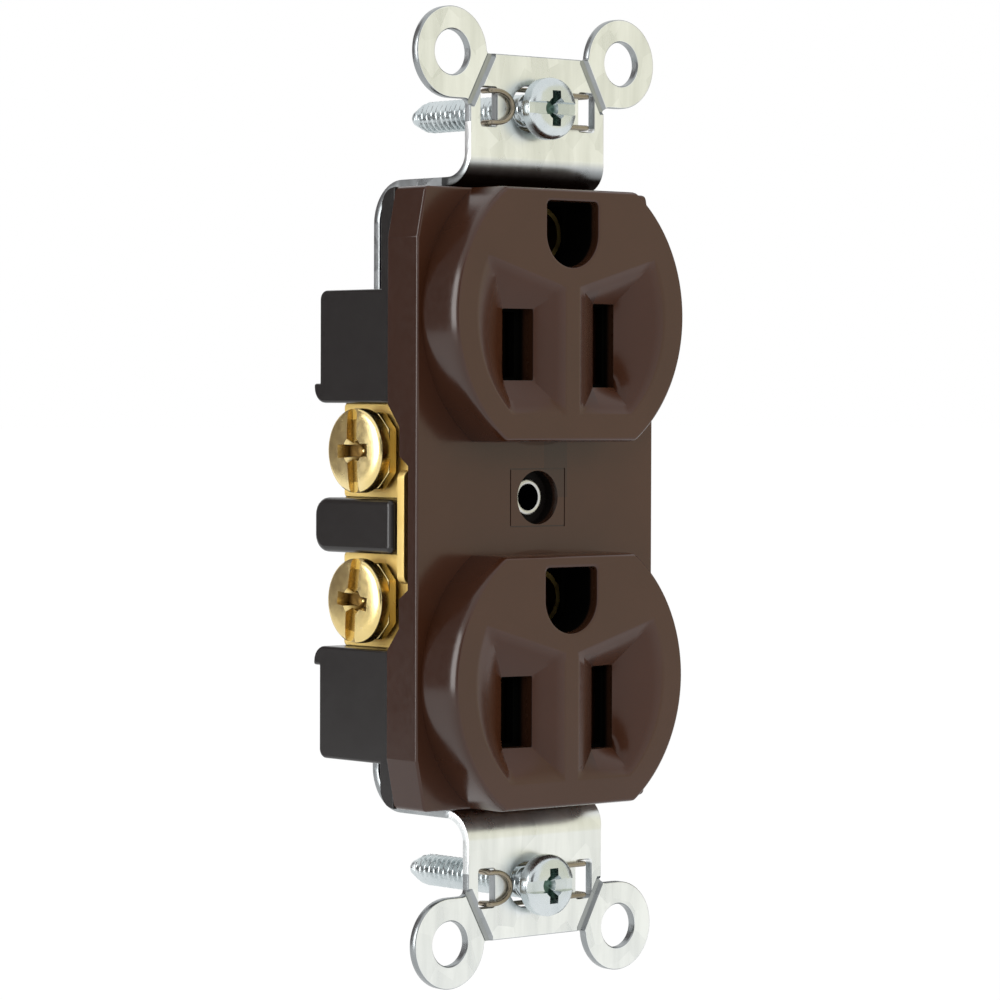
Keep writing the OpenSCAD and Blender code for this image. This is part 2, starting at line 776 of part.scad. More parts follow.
module ground_screw() {
    color([0.2, 0.5, 0.3]) translate([0, ground_screw_y, ground_tab_z])
        side_screw(1, ground_tab_x + ground_screw_gap, ground_head_d, ground_head_t, ground_shank_l);
}

module box_screw(end) {
    front = box_head_y - box_head_t;
    color([0.75, 0.78, 0.8]) translate([0, 0, end * screw_z]) difference() {
        union() {
            bar_y(box_head_d / 2, front, box_head_y);
            bar_y(box_neck_d / 2, box_head_y - thin, box_thread_y + thin);
            bar_y(box_r, box_thread_y, box_screw_tip - box_tip_l);
            translate([0, box_screw_tip, 0]) rotate([90, 0, 0])
                cylinder(r1 = box_r * box_tip_share, r2 = box_r, h = box_tip_l + thin);
        }
        block([-box_head_d, front - past, -drive_w / 2], [box_head_d, front + drive_d, drive_w / 2]);
        block([-drive_w / 2, front - past, -box_head_d / 4], [drive_w / 2, front + drive_d, box_head_d / 4]);
    }
}

module box_screw_top() {
    box_screw(1);
}

module box_screw_bottom() {
    box_screw(-1);
}

// The wire clip that keeps a box screw in its slot. Its loop lies in front of the strap on the
// left; its two legs pass behind the strap on either side of the screw and end on the right.
function clip_leg(half) = let (z = half * clip_window_z)
    [[window_x - clip_end_l, clip_front, z], [window_x, clip_front, z], [window_x, clip_back, z],
     [clip_spread_x, clip_back, half * clip_leg_z], [-clip_spread_x, clip_back, half * clip_leg_z],
     [-window_x, clip_back, z], [-window_x, clip_front, z]];

function clip_loop() = [for (k = [0:loop_steps]) let (a = 90 - 180 * k / loop_steps)
    [clip_loop_x + clip_loop_w * cos(a), clip_front, clip_window_z * sin(a)]];

function reversed(list) = [for (k = [len(list) - 1:-1:0]) list[k]];

module wire(points) {
    for (k = [1:len(points) - 1]) hull() {
        translate(points[k - 1]) sphere(clip_r, $fn = 8);
        translate(points[k]) sphere(clip_r, $fn = 8);
    }
}

module screw_clip(end) {
    color([0.62, 0.52, 0.38]) translate([0, 0, end * screw_z])
        wire(concat(clip_leg(1), clip_loop(), reversed(clip_leg(-1))));
}

module screw_clip_top() {
    screw_clip(1);
}

module screw_clip_bottom() {
    screw_clip(-1);
}

face_cover();
rear_base();
mounting_strap();
hot_contact_strip();
neutral_contact_strip();
ground_contact_upper();
ground_contact_lower();
ground_rivets();
center_post();
hot_screw_upper();
hot_screw_lower();
neutral_screw_upper();
neutral_screw_lower();
hot_clamp_upper();
hot_clamp_lower();
neutral_clamp_upper();
neutral_clamp_lower();
ground_screw();
box_screw_top();
box_screw_bottom();
screw_clip_top();
screw_clip_bottom();
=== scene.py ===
import bmesh
import bpy
import math
from mathutils import Matrix, Vector
from mathutils.kdtree import KDTree


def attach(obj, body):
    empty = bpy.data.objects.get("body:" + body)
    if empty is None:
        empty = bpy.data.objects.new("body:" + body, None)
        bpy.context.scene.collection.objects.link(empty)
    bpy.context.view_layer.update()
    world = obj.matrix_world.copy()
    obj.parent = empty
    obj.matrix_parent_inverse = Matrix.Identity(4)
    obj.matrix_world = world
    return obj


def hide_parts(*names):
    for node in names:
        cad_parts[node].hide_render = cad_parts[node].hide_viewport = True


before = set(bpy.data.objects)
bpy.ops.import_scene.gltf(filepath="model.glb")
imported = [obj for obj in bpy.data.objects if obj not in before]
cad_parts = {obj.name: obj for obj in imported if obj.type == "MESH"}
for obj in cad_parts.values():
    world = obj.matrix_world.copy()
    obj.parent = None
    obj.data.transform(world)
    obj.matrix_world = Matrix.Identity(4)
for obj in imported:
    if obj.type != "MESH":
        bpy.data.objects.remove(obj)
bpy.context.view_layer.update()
mm = 0.001
upDown = {"upper": 1, "lower": -1}
print("outlet: frame loaded")


# meshes: pieces are shaped in millimetres and brought to metres when they are finished
def clearSelection():
    if bpy.context.object and bpy.context.object.mode != "OBJECT":
        bpy.ops.object.mode_set(mode="OBJECT")
    bpy.ops.object.select_all(action="DESELECT")


def choose(piece, editing=False):
    clearSelection()
    piece.select_set(True)
    bpy.context.view_layer.objects.active = piece
    if editing:
        bpy.ops.object.mode_set(mode="EDIT")
        bpy.ops.mesh.select_all(action="SELECT")


def nameIt(name):
    piece = bpy.context.object
    piece.name = piece.data.name = name
    bpy.ops.object.transform_apply(location=True, rotation=True, scale=True)
    return piece


def addBlock(name, low, high):
    clearSelection()
    bpy.ops.mesh.primitive_cube_add(size=1, location=[(a + b) / 2 for a, b in zip(low, high)])
    bpy.context.object.scale = [(b - a) for a, b in zip(low, high)]
    return nameIt(name)


def addSideBlock(name, side, x, y, z):
    low, high = sorted((side * x[0], side * x[1]))
    return addBlock(name, (low, y[0], min(z)), (high, y[1], max(z)))


def about(middle, half):
    return (middle - half, middle + half)


def onAxis(axis, along, first, second):
    # a point from its place along X or Y and its places in the other two directions
    return (along, first, second) if axis == "X" else (first, along, second)


def addRod(name, axis, radius, start, end, centre, count=64):
    clearSelection()
    turn = (0, math.pi / 2, 0) if axis == "X" else (math.pi / 2, 0, 0)
    place = onAxis(axis, (start + end) / 2, *centre)
    bpy.ops.mesh.primitive_cylinder_add(vertices=count, radius=radius, depth=abs(end - start),
                                        location=place, rotation=turn)
    return nameIt(name)


def closeMesh(piece, name):
    bpy.ops.mesh.select_all(action="SELECT")
    bpy.ops.mesh.normals_make_consistent(inside=False)
    clearSelection()
    piece.select_set(True)
    return nameIt(name)


def addLoft(name, rings):
    # rings of as many points each, joined in their order and closed at both ends
    clearSelection()
    bpy.ops.mesh.primitive_circle_add(vertices=len(rings[0]), radius=1, fill_type="NGON")
    piece = bpy.context.object
    for vert, point in zip(piece.data.vertices, rings[0]):
        vert.co = point
    choose(piece, editing=True)
    for before, after in zip(rings, rings[1:]):
        bpy.ops.mesh.extrude_region_move()
        places = KDTree(len(before))
        for index, point in enumerate(before):
            places.insert(Vector(point), index)
        places.balance()
        for vert in bmesh.from_edit_mesh(piece.data).verts:
            if vert.select:
                vert.co = after[places.find(vert.co)[1]]
        bmesh.update_edit_mesh(piece.data)
    return closeMesh(piece, name)


def arcPoints(centre, radius, start, stop, steps):
    turns = [math.radians(start + (stop - start) * k / steps) for k in range(steps + 1)]
    return [(centre[0] + radius * math.cos(turn), centre[1] + radius * math.sin(turn)) for turn in turns]


def cornerRing(corners, radii, inset, steps):
    # a counter-clockwise outline moved inwards by inset, with its corners rounded
    count = len(corners)
    ring = []
    for i in range(count):
        before, corner, after = Vector(corners[i - 1]), Vector(corners[i]), Vector(corners[(i + 1) % count])
        arriving, leaving = (corner - before).normalized(), (after - corner).normalized()
        bend = math.asin(max(-1, min(1, arriving.cross(leaving))))
        inward = (Vector((-arriving.y, arriving.x)) + Vector((-leaving.y, leaving.x))).normalized()
        corner = corner + inward * inset / math.cos(bend / 2)
        if not radii[i]:
            ring.append(tuple(corner))
            continue
        radius = max(0.01, radii[i] - inset if bend > 0 else radii[i] + inset)
        side = 1 if bend > 0 else -1
        centre = corner + inward * side * radius / math.cos(bend / 2)
        outward = corner - centre
        first = math.atan2(outward.y, outward.x) - bend / 2
        ring += [(centre.x + radius * math.cos(first + bend * k / steps),
                  centre.y + radius * math.sin(first + bend * k / steps)) for k in range(steps + 1)]
    return ring


def edgeLevels(start, stop, startEdge, stopEdge, rings=3):
    # places along the slab with how far the outline is drawn in there, so that its rims are rounded
    levels = []
    sign = 1 if stop > start else -1
    for place, edge, inwards in ((start, startEdge, 1), (stop, stopEdge, -1)):
        turns = [math.radians(90 * k / rings) for k in range(rings + 1)] if edge else [math.pi / 2]
        part = [(place + sign * inwards * abs(edge) * (1 - math.cos(turn)), edge * (1 - math.sin(turn)))
                for turn in turns]
        levels += part if inwards > 0 else part[::-1]
    return levels


def addSlab(name, axis, corners, radii, levels, steps=5):
    # an outline in the other two directions, extruded along the axis
    return addLoft(name, [[onAxis(axis, place, u, v) for u, v in cornerRing(corners, radii, inset, steps)]
                          for place, inset in levels])


def box2d(low, high):
    return [(low[0], low[1]), (high[0], low[1]), (high[0], high[1]), (low[0], high[1])]


def mirrored(side, corners):
    return [(side * u, v) for u, v in corners[::side]]


def addTurned(name, axis, direction, start, centre, profile, count=64):
    # the profile's points are (distance from start along direction, radius), spun round the axis
    clearSelection()
    bpy.ops.mesh.primitive_circle_add(vertices=len(profile), radius=1, fill_type="NOTHING")
    piece = bpy.context.object
    for vert, (along, radius) in zip(piece.data.vertices, profile):
        vert.co = onAxis(axis, start + direction * along, centre[0] + radius, centre[1])
    choose(piece, editing=True)
    middle, line = onAxis(axis, 0, *centre), onAxis(axis, 1, 0, 0)
    bpy.ops.mesh.spin(steps=count, angle=math.tau, center=middle, axis=line)
    bpy.ops.mesh.select_all(action="SELECT")
    bpy.ops.mesh.remove_doubles(threshold=1e-4)
    bpy.ops.mesh.delete_loose(use_verts=True, use_edges=True, use_faces=False)
    return closeMesh(piece, name)


def combine(piece, how, tools):
    for tool in tools:
        choose(piece)
        change = piece.modifiers.new(how.lower(), "BOOLEAN")
        change.operation, change.solver, change.object = how, "EXACT", tool
        bpy.ops.object.modifier_apply(modifier=change.name)
        bpy.data.objects.remove(tool)
    return piece


def cut(piece, *tools):
    return combine(piece, "DIFFERENCE", tools)


def weld(piece, *tools):
    return combine(piece, "UNION", tools)


def joinTo(piece, *others):
    clearSelection()
    for other in others:
        other.select_set(True)
    piece.select_set(True)
    bpy.context.view_layer.objects.active = piece
    bpy.ops.object.join()
    return piece


def finishPiece(piece, body, slotName, finish, *nodes, angle=38):
    choose(piece, editing=True)
    bpy.ops.mesh.remove_doubles(threshold=1e-3)
    clearSelection()
    piece.scale = (mm, mm, mm)
    choose(piece)
    bpy.ops.object.transform_apply(location=False, rotation=False, scale=True)
    bpy.ops.object.shade_smooth_by_angle(angle=math.radians(angle))
    shading = piece.modifiers.new("shading", "WEIGHTED_NORMAL")
    shading.keep_sharp = True
    bpy.ops.object.modifier_apply(modifier=shading.name)
    piece.data.materials.clear()
    piece.data.materials.append(finish)
    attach(piece, body)
    if nodes:
        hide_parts(*nodes)


# finishes
def startFinish(name, metallic=0.0, roughness=0.4, **shared):
    finish = bpy.data.materials.new(name)
    finish.use_nodes = True
    shader = finish.node_tree.nodes["Principled BSDF"]
    shader.inputs["Metallic"].default_value = metallic
    shader.inputs["Roughness"].default_value = roughness
    for socket, value in shared.items():
        shader.inputs[socket].default_value = value
    return finish, finish.node_tree, shader


def addPattern(tree, kind, scale, stretch=(1, 1, 1), **settings):
    place = tree.nodes.new("ShaderNodeTexCoord")
    mapping = tree.nodes.new("ShaderNodeMapping")
    mapping.inputs["Scale"].default_value = stretch
    pattern = tree.nodes.new("ShaderNodeTex" + kind)
    pattern.inputs["Scale"].default_value = scale
    for socket, value in settings.items():
        pattern.inputs[socket].default_value = value
    tree.links.new(place.outputs["Object"], mapping.inputs["Vector"])
    tree.links.new(mapping.outputs["Vector"], pattern.inputs["Vector"])
    return pattern


def addRamp(tree, value, stops):
    ramp = tree.nodes.new("ShaderNodeValToRGB")
    tree.links.new(value, ramp.inputs["Fac"])
    marks = ramp.color_ramp.elements
    while len(marks) < len(stops):
        marks.new(0.5)
    for mark, (place, colour) in zip(marks, stops):
        mark.position = place
        mark.color = (*colour, 1)
    return ramp.outputs["Color"]


def addRange(tree, value, low, high, start=0.3, stop=0.7):
    span = tree.nodes.new("ShaderNodeMapRange")
    span.inputs["From Min"].default_value, span.inputs["From Max"].default_value = start, stop
    span.inputs["To Min"].default_value, span.inputs["To Max"].default_value = low, high
    tree.links.new(value, span.inputs["Value"])
    return span.outputs["Result"]


def addBump(tree, shader, value, strength, distance, before=None):
    bump = tree.nodes.new("ShaderNodeBump")
    bump.inputs["Strength"].default_value = strength
    bump.inputs["Distance"].default_value = distance
    tree.links.new(value, bump.inputs["Height"])
    if before:
        tree.links.new(before.outputs["Normal"], bump.inputs["Normal"])
    tree.links.new(bump.outputs["Normal"], shader.inputs["Normal"])
    return bump


def dress(tree, shader, tone, stops, grain, rough, span=(0.3, 0.7)):
    # the colour follows the tone and the roughness the grain
    tree.links.new(addRamp(tree, tone, stops), shader.inputs["Base Color"])
    tree.links.new(addRange(tree, grain, *rough, *span), shader.inputs["Roughness"])


def makeMoulding(name, dark, light, rough, grain, ripple):
    finish, tree, shader = startFinish(name, IOR=1.5)
    cloud = addPattern(tree, "Noise", 90, Detail=4)
    fine = addPattern(tree, "Noise", 1400, Detail=3)
    dress(tree, shader, cloud.outputs["Fac"], [(0.35, dark), (0.65, light)], fine.outputs["Fac"], rough)
    wave = addPattern(tree, "Noise", 120, Detail=1)
    swell = addBump(tree, shader, wave.outputs["Fac"], ripple, 0.0004)
    addBump(tree, shader, fine.outputs["Fac"], grain, 0.00004, swell)
    return finish


def makeMetal(name, dark, light, rough, grain=0.1, brushScale=900, brush=(1, 1, 1)):
    finish, tree, shader = startFinish(name, metallic=1.0)
    cloud = addPattern(tree, "Noise", 160, Detail=5)
    lines = addPattern(tree, "Noise", brushScale, brush, Detail=4)
    dress(tree, shader, cloud.outputs["Fac"], [(0.3, dark), (0.7, light)], lines.outputs["Fac"], rough)
    addBump(tree, shader, lines.outputs["Fac"], grain, 0.00005)
    return finish


def makeGalvanized(name, dark, light, rough):
    finish, tree, shader = startFinish(name, metallic=1.0)
    spangle = addPattern(tree, "Voronoi", 420, (1, 1, 0.8), Randomness=1.0)
    tone = tree.nodes.new("ShaderNodeSeparateColor")
    tree.links.new(spangle.outputs["Color"], tone.inputs["Color"])
    streaks = addPattern(tree, "Noise", 700, (1, 1, 0.12), Detail=5)
    mix = mathNode(tree, "MULTIPLY_ADD", tone.outputs["Red"], 0.35, streaks.outputs["Fac"])
    dress(tree, shader, mix, [(0.35, dark), (0.95, light)], mix, rough, (0.3, 1.0))
    addBump(tree, shader, streaks.outputs["Fac"], 0.12, 0.00006)
    return finish


# sums on a point's place, which say how much painted shade a surface gets there
def mathNode(tree, how, *values):
    node = tree.nodes.new("ShaderNodeMath")
    node.operation = how
    for slot, value in enumerate(values):
        if isinstance(value, (int, float)):
            node.inputs[slot].default_value = value
        else:
            tree.links.new(value, node.inputs[slot])
    return node.outputs["Value"]


def placeParts(tree):
    place = tree.nodes.new("ShaderNodeTexCoord")
    parts = tree.nodes.new("ShaderNodeSeparateXYZ")
    tree.links.new(place.outputs["Object"], parts.inputs["Vector"])
    return [parts.outputs[axis] for axis in "XYZ"]


def combined(tree, how, first, *others):
    for other in others:
        first = mathNode(tree, how, first, other)
    return first


def times(tree, *values):
    return combined(tree, "MULTIPLY", *values)


def largest(tree, *values):
    return combined(tree, "MAXIMUM", *values)


def size(tree, value):
    return mathNode(tree, "ABSOLUTE", value)


def minus(tree, value, distance):
    return mathNode(tree, "SUBTRACT", value, distance * mm)


def above(tree, value, low):
    return mathNode(tree, "GREATER_THAN", value, low * mm)


def below(tree, value, high):
    return mathNode(tree, "LESS_THAN", value, high * mm)


def within(tree, value, low, high):
    return times(tree, above(tree, value, low), below(tree, value, high))


def rising(tree, value, start, stop, most=1):
    return addRange(tree, value, 0, most, start * mm, stop * mm)


def reachOf(tree, first, second):
    squares = [mathNode(tree, "POWER", value, 2) for value in (first, second)]
    return mathNode(tree, "SQRT", mathNode(tree, "ADD", *squares))


def repeated(tree, value, shift, pitch):
    # the distance from the middle of the step that the value is in
    moved = mathNode(tree, "ADD", value, shift * mm)
    return minus(tree, mathNode(tree, "MODULO", moved, pitch * mm), pitch / 2)


def darken(tree, amount, shade, rough=((1, 0),)):
    # with the amount, the base colour is multiplied by the painted shade and the roughness is raised
    shader = tree.nodes["Principled BSDF"]
    greys = [(place, (level, level, level)) for place, level in ((0, 0), *rough)]
    changes = (("Base Color", [(0, (1, 1, 1)), *shade], "MULTIPLY"), ("Roughness", greys, "ADD"))
    for socket, stops, how in changes:
        old = shader.inputs[socket].links[0].from_socket
        mix = tree.nodes.new("ShaderNodeMix")
        mix.data_type, mix.blend_type = "RGBA", how
        mix.inputs["Factor"].default_value = 1
        tree.links.new(old, mix.inputs["A"])
        tree.links.new(addRamp(tree, amount, stops), mix.inputs["B"])
        tree.links.new(mix.outputs["Result"], shader.inputs[socket])
    return shader


# each socket's painted shade: a place, its start and full depth in Y, and its most where that is not 1
socketShade = {"gap": 0.03, "mouthEdge": 0.1, "holeX": 3.8, "holeZ": (4.8, 12.4), "holeY": (-6.62, -5.3),
               "recess": 3.0, "recessY": (-1.05, -0.2, 0.8), "ridgeX": 0.9, "ridgeZ": 2.8,
               "ridgeY": (-6.5, -5.6, 0.024), "lineX": 4.05, "lineZ": 3.25, "lineReach": 3.05,
               "lineY": (-1.09, -1.03, 0.035), "funnelEdge": 0.2, "funnelY": (-6.7, -6.3, 0.17)}


def shadeSockets(finish):
    # painted shade, tinted purple, growing deeper into the slot mouths, the ground holes and the centre
    # recess
    tree, c, s = finish.node_tree, cover, socketShade
    gap = s["gap"]
    x, y, z = placeParts(tree)
    up = repeated(tree, z, 2 * c["discZ"], 2 * c["discZ"])
    right, x = above(tree, x, 0), size(tree, x)
    half = mathNode(tree, "MULTIPLY_ADD", right, (c["neutralHigh"] - c["hotHigh"]) / 2 * mm,
                    (c["hotHigh"] / 2 + gap) * mm)
    mouth = times(tree, within(tree, x, c["mouthIn"] - gap, c["mouthOut"] + gap),
                  mathNode(tree, "LESS_THAN", size(tree, minus(tree, up, c["slotZ"])), half),
                  rising(tree, y, c["mouthInY"] - s["mouthEdge"], c["mouthFloor"] + s["mouthEdge"]))
    hole = times(tree, below(tree, x, s["holeX"]), within(tree, up, *s["holeZ"]),
                 rising(tree, y, *s["holeY"]))
    reach = reachOf(tree, x, z)
    recess = times(tree, below(tree, reach, s["recess"]), rising(tree, y, *s["recessY"]))
    # a faint purple painted shade on the funnel flank between the middle ridge and the +X slot mouths
    ridge = times(tree, right, within(tree, x, s["ridgeX"], c["mouthIn"] - gap), below(tree, up, s["ridgeZ"]),
                  rising(tree, y, *s["ridgeY"]))
    # painted shade in the shallow grooves of the inset lines round the centre recess
    lines = times(tree, below(tree, x, s["lineX"]), within(tree, z, -s["lineZ"], s["lineZ"]),
                  above(tree, reach, s["lineReach"]), rising(tree, y, *s["lineY"]))
    amount = largest(tree, mouth, hole, recess, ridge, lines)
    # the painted shade's colours: faint amounts tint purple, full amounts go nearly black
    shade = [(0.04, (0.5, 0.62, 1.0)), (0.08, (0.8, 0.9, 1.0)), (0.6, (0.7, 0.85, 1.0)),
             (0.8, (0.1, 0.2, 0.35)), (0.95, (0.04, 0.12, 0.22))]
    shader = darken(tree, amount, shade, ((0.5, 0.1), (0.9, 0.6)))
    # the sheen is turned down with the painted shade in the openings, and in the funnels round the slots
    funnel = times(tree, below(tree, reachOf(tree, x, up), c["funnelRadius"] + s["funnelEdge"]),
                   rising(tree, y, *s["funnelY"]))
    shine = mathNode(tree, "SUBTRACT", addRange(tree, amount, 0.5, 0.17, 0.3, 0.85), funnel)
    tree.links.new(shine, shader.inputs["Specular IOR Level"])


strapShade = {"plateZ": 40, "plateY": (-0.975, -0.04), "legX": 10.12, "legZ": 34.3, "bendY": (-1.2, 3.0),
              "bendZ": (36.3, 33.9, 1.2)}


def shadeStrap(finish):
    # painted shade on the cut edges of the ear plates and legs, and a painted shadow in the upper bend
    tree, s = finish.node_tree, strapShade
    x, y, z = placeParts(tree)
    tall = size(tree, z)
    edge = times(tree, above(tree, tall, s["plateZ"]), within(tree, y, *s["plateY"]))
    side = times(tree, above(tree, size(tree, x), s["legX"]), below(tree, tall, s["legZ"]))
    bend = times(tree, within(tree, y, *s["bendY"]), rising(tree, z, *s["bendZ"]), above(tree, z, 0))
    amount = largest(tree, times(tree, largest(tree, edge, side), 0.5), bend)
    darken(tree, amount, [(0.5, (0.42, 0.43, 0.44)), (1, (0.08, 0.08, 0.08))])


driveShade = {"sideReach": 3.4, "sideX": (16.3, 15.3), "sideEdge": 0.05, "boxZ": 41.67, "boxReach": 2.5,
              "boxY": (-3.3, -2.75), "boxEdge": -2.1}


def shadeSideDrives(finish):    # painted shade in the drive recesses of the terminal screws
    tree, t, d = finish.node_tree, terminals, driveShade
    x, y, z = placeParts(tree)
    rise = repeated(tree, z, 2 * t["pitch"] - t["middle"], t["pitch"])
    reach = reachOf(tree, rise, minus(tree, y, t["axisY"]))
    x = size(tree, x)
    amount = times(tree, below(tree, reach, d["sideReach"]), rising(tree, x, *d["sideX"]),
                   above(tree, x, t["headOut"] + d["sideEdge"]))
    darken(tree, amount, [(0.4, (0.55, 0.5, 0.42)), (1, (0.16, 0.12, 0.08))], ((1, 0.15),))


def shadeBoxDrives(finish):
    # painted shade, tinted green, in the drive recesses of the box screws
    tree, d = finish.node_tree, driveShade
    x, y, z = placeParts(tree)
    reach = reachOf(tree, x, minus(tree, size(tree, z), d["boxZ"]))
    amount = times(tree, below(tree, reach, d["boxReach"]), rising(tree, y, *d["boxY"]),
                   below(tree, y, d["boxEdge"]))
    darken(tree, amount, [(1, (0.14, 0.22, 0.18))], ((1, 0.1),))


def shadeInside(finish, amount):
    # painted shade, nearly black, for parts that lie deep inside
    darken(finish.node_tree, amount, [(1, (0.01, 0.01, 0.012))], ((1, 0.4),))


# moulded cover
cover = {"halfWidth": 16.95, "halfHeight": 33.0, "front": -1.1, "rear": 3.85, "cornerHigh": 5.4,
         "cornerWide": 1.1, "discRadius": 16.4, "discHalf": 13.5, "discZ": 19.5, "face": -6.73,
         "rim": [(0, 0.46), (0.04, 0.33), (0.12, 0.225), (0.26, 0.155), (0.6, 0.07), (1.1, 0.02), (1.8, 0)],
         "slotX": 6.35, "slotZ": -3.15, "slotWidth": 2.6, "neutralHigh": 9.0, "hotHigh": 7.6,
         "mouthIn": 4.3, "mouthOut": 8.0, "mouthInY": -5.1, "mouthOutY": -4.35, "mouthFloor": -2.9,
         "cavity": -1.98, "funnelRadius": 13.7, "ridge": 0.8, "funnelTop": 6.4,
         "ridgeTop": 3.1, "funnelLow": -10.7, "gentle": 0.55, "steepness": 1.8, "levels": 12,
         "groundWidth": 7.2, "groundHigh": 6.95, "groundZ": 8.75, "groundEdge": 0.4,
         "recess": 5.8, "recessRear": 0.85, "bore": 3.6, "insetWidth": 7.9, "insetHigh": 6.3, "inset": 0.13,
         "flare": 1.0375, "past": 0.5, "rivetZ": 2.45, "flangeEdge": 0.26}
terminals = {"middle": -3.05, "pitch": 16.1, "reach": 13.15, "plateIn": 12.3, "plateOut": 13.5, "axisY": 10.1,
             "clampOut": 13.85, "headOut": 14.95, "shank": 2.08, "hotLeaf": 6.6, "neutralLeaf": 7.8}

# the finishes of all the pieces
coverFinish = makeMoulding("coverPlastic", (0.058, 0.0195, 0.0085), (0.066, 0.0225, 0.0105),
                           (0.16, 0.22), 0.05, 0.12)
baseFinish = makeMoulding("basePlastic", (0.015, 0.0125, 0.0115), (0.018, 0.015, 0.014),
                          (0.23, 0.26), 0.04, 0.12)
strapFinish = makeGalvanized("galvanizedSteel", (0.7, 0.73, 0.73), (0.92, 0.95, 0.95), (0.24, 0.36))
rolled = (1, 1, 0.05)    # the streaks of a rolled strip run along Z
brassStripFinish = makeMetal("rolledBrass", (0.7, 0.5, 0.16), (0.82, 0.62, 0.24), (0.42, 0.54), 0.25,
                             1500, rolled)
brassScrewFinish = makeMetal("platedBrass", (0.78, 0.6, 0.25), (0.92, 0.75, 0.38), (0.16, 0.28), 0.12)
neutralFinish = makeMetal("tinnedStrip", (0.6, 0.59, 0.55), (0.74, 0.73, 0.68), (0.38, 0.5), 0.2,
                          1500, rolled)
nickelFinish = makeMetal("nickelPlate", (0.56, 0.55, 0.52), (0.7, 0.69, 0.66), (0.14, 0.26))
zincFinish = makeMetal("zincPlate", (0.5, 0.56, 0.58), (0.72, 0.77, 0.78), (0.16, 0.32), 0.18, 1100)
greenFinish = makeMetal("greenZinc", (0.05, 0.2, 0.09), (0.09, 0.3, 0.14), (0.2, 0.34), 0.15)
wireFinish = makeMetal("springWire", (0.2, 0.17, 0.12), (0.42, 0.37, 0.29), (0.22, 0.34))
rivetFinish = makeMetal("rivetSteel", (0.5, 0.5, 0.48), (0.66, 0.66, 0.63), (0.18, 0.32), 0.12)
# a darkened copy of the brass: painted shade for the ground contacts deep in the ground holes
shadedGroundFinish = makeMetal("shadedBrass", (0.2, 0.14, 0.04), (0.32, 0.23, 0.08), (0.3, 0.45))
shadeSockets(coverFinish)
shadeStrap(strapFinish)
shadeSideDrives(brassScrewFinish)
shadeSideDrives(nickelFinish)
shadeBoxDrives(zincFinish)
# painted shade on the strip leaves behind the slots and in the centre post's bore
inside = {"stripY": 1.5, "postRadius": 1.43}
for finish in (brassStripFinish, neutralFinish):
    tree = finish.node_tree
    shadeInside(finish, below(tree, placeParts(tree)[1], inside["stripY"]))
tree = rivetFinish.node_tree
shadeInside(rivetFinish, below(tree, reachOf(tree, *placeParts(tree)[::2]), inside["postRadius"]))
print("outlet: finishes made")


def lerp(a, b, share):
    return [p + (q - p) * share for p, q in zip(a, b)]


def between(a, b, steps):
    # the points from a to b, without b itself
    return [lerp(a, b, k / steps) for k in range(steps)]


def funnelRings(slotHigh):
    # from the slot's mouth up to the funnel's edge in the face, and a little past it
    c = cover
    low, high = about(c["slotZ"], slotHigh / 2)
    shallow, deep = c["mouthInY"] - c["face"], c["mouthOutY"] - c["face"]
    corners = [(c["mouthIn"], low, shallow), (c["mouthIn"], high, shallow),
               (c["mouthOut"], high, deep), (c["mouthOut"], low, deep)]
    start, stop = (math.degrees(math.asin(z / c["funnelRadius"])) for z in (c["funnelTop"], c["funnelLow"]))
    arc = arcPoints((0, 0), c["funnelRadius"], start, stop, 22)
    bottom, top = (c["ridge"], c["funnelLow"]), (c["ridge"], c["ridgeTop"])
    edges = [between(bottom, top, 14), between(top, arc[0], 10), arc[:-1], between(arc[-1], bottom, 10)]
    pairs = []
    for corner, following, edge in zip(corners, corners[1:] + corners[:1], edges):
        pairs += zip(between(corner, following, len(edge)), edge)

    def ringAt(share, heightOf):
        places = [(lerp(slot[:2], edge, share), heightOf(slot[2])) for slot, edge in pairs]
        return [(x, c["face"] + y, z) for (x, z), y in places]

    rings = []
    for level in range(c["levels"] + 1):
        left = 1 - level / c["levels"]
        drop = c["gentle"] * left + (1 - c["gentle"]) * left ** c["steepness"]
        rings.append(ringAt(1 - left, lambda deep: deep * drop))
    return rings + [ringAt(c["flare"], lambda deep: -c["past"])]


def groundRing(y, grow):
    c, corner = cover, 0.5
    r = c["groundWidth"] / 2 + grow
    top = c["groundZ"] + c["groundHigh"] - c["groundWidth"] / 2 + grow
    points = arcPoints((0, c["groundZ"]), r, 180, 360, 30)
    points += [(r, top - corner), (r - corner * 0.3, top - corner * 0.3), (r - corner, top),
               (corner - r, top), (corner * 0.3 - r, top - corner * 0.3), (-r, top - corner)]
    return [(x, y, z) for x, z in points]


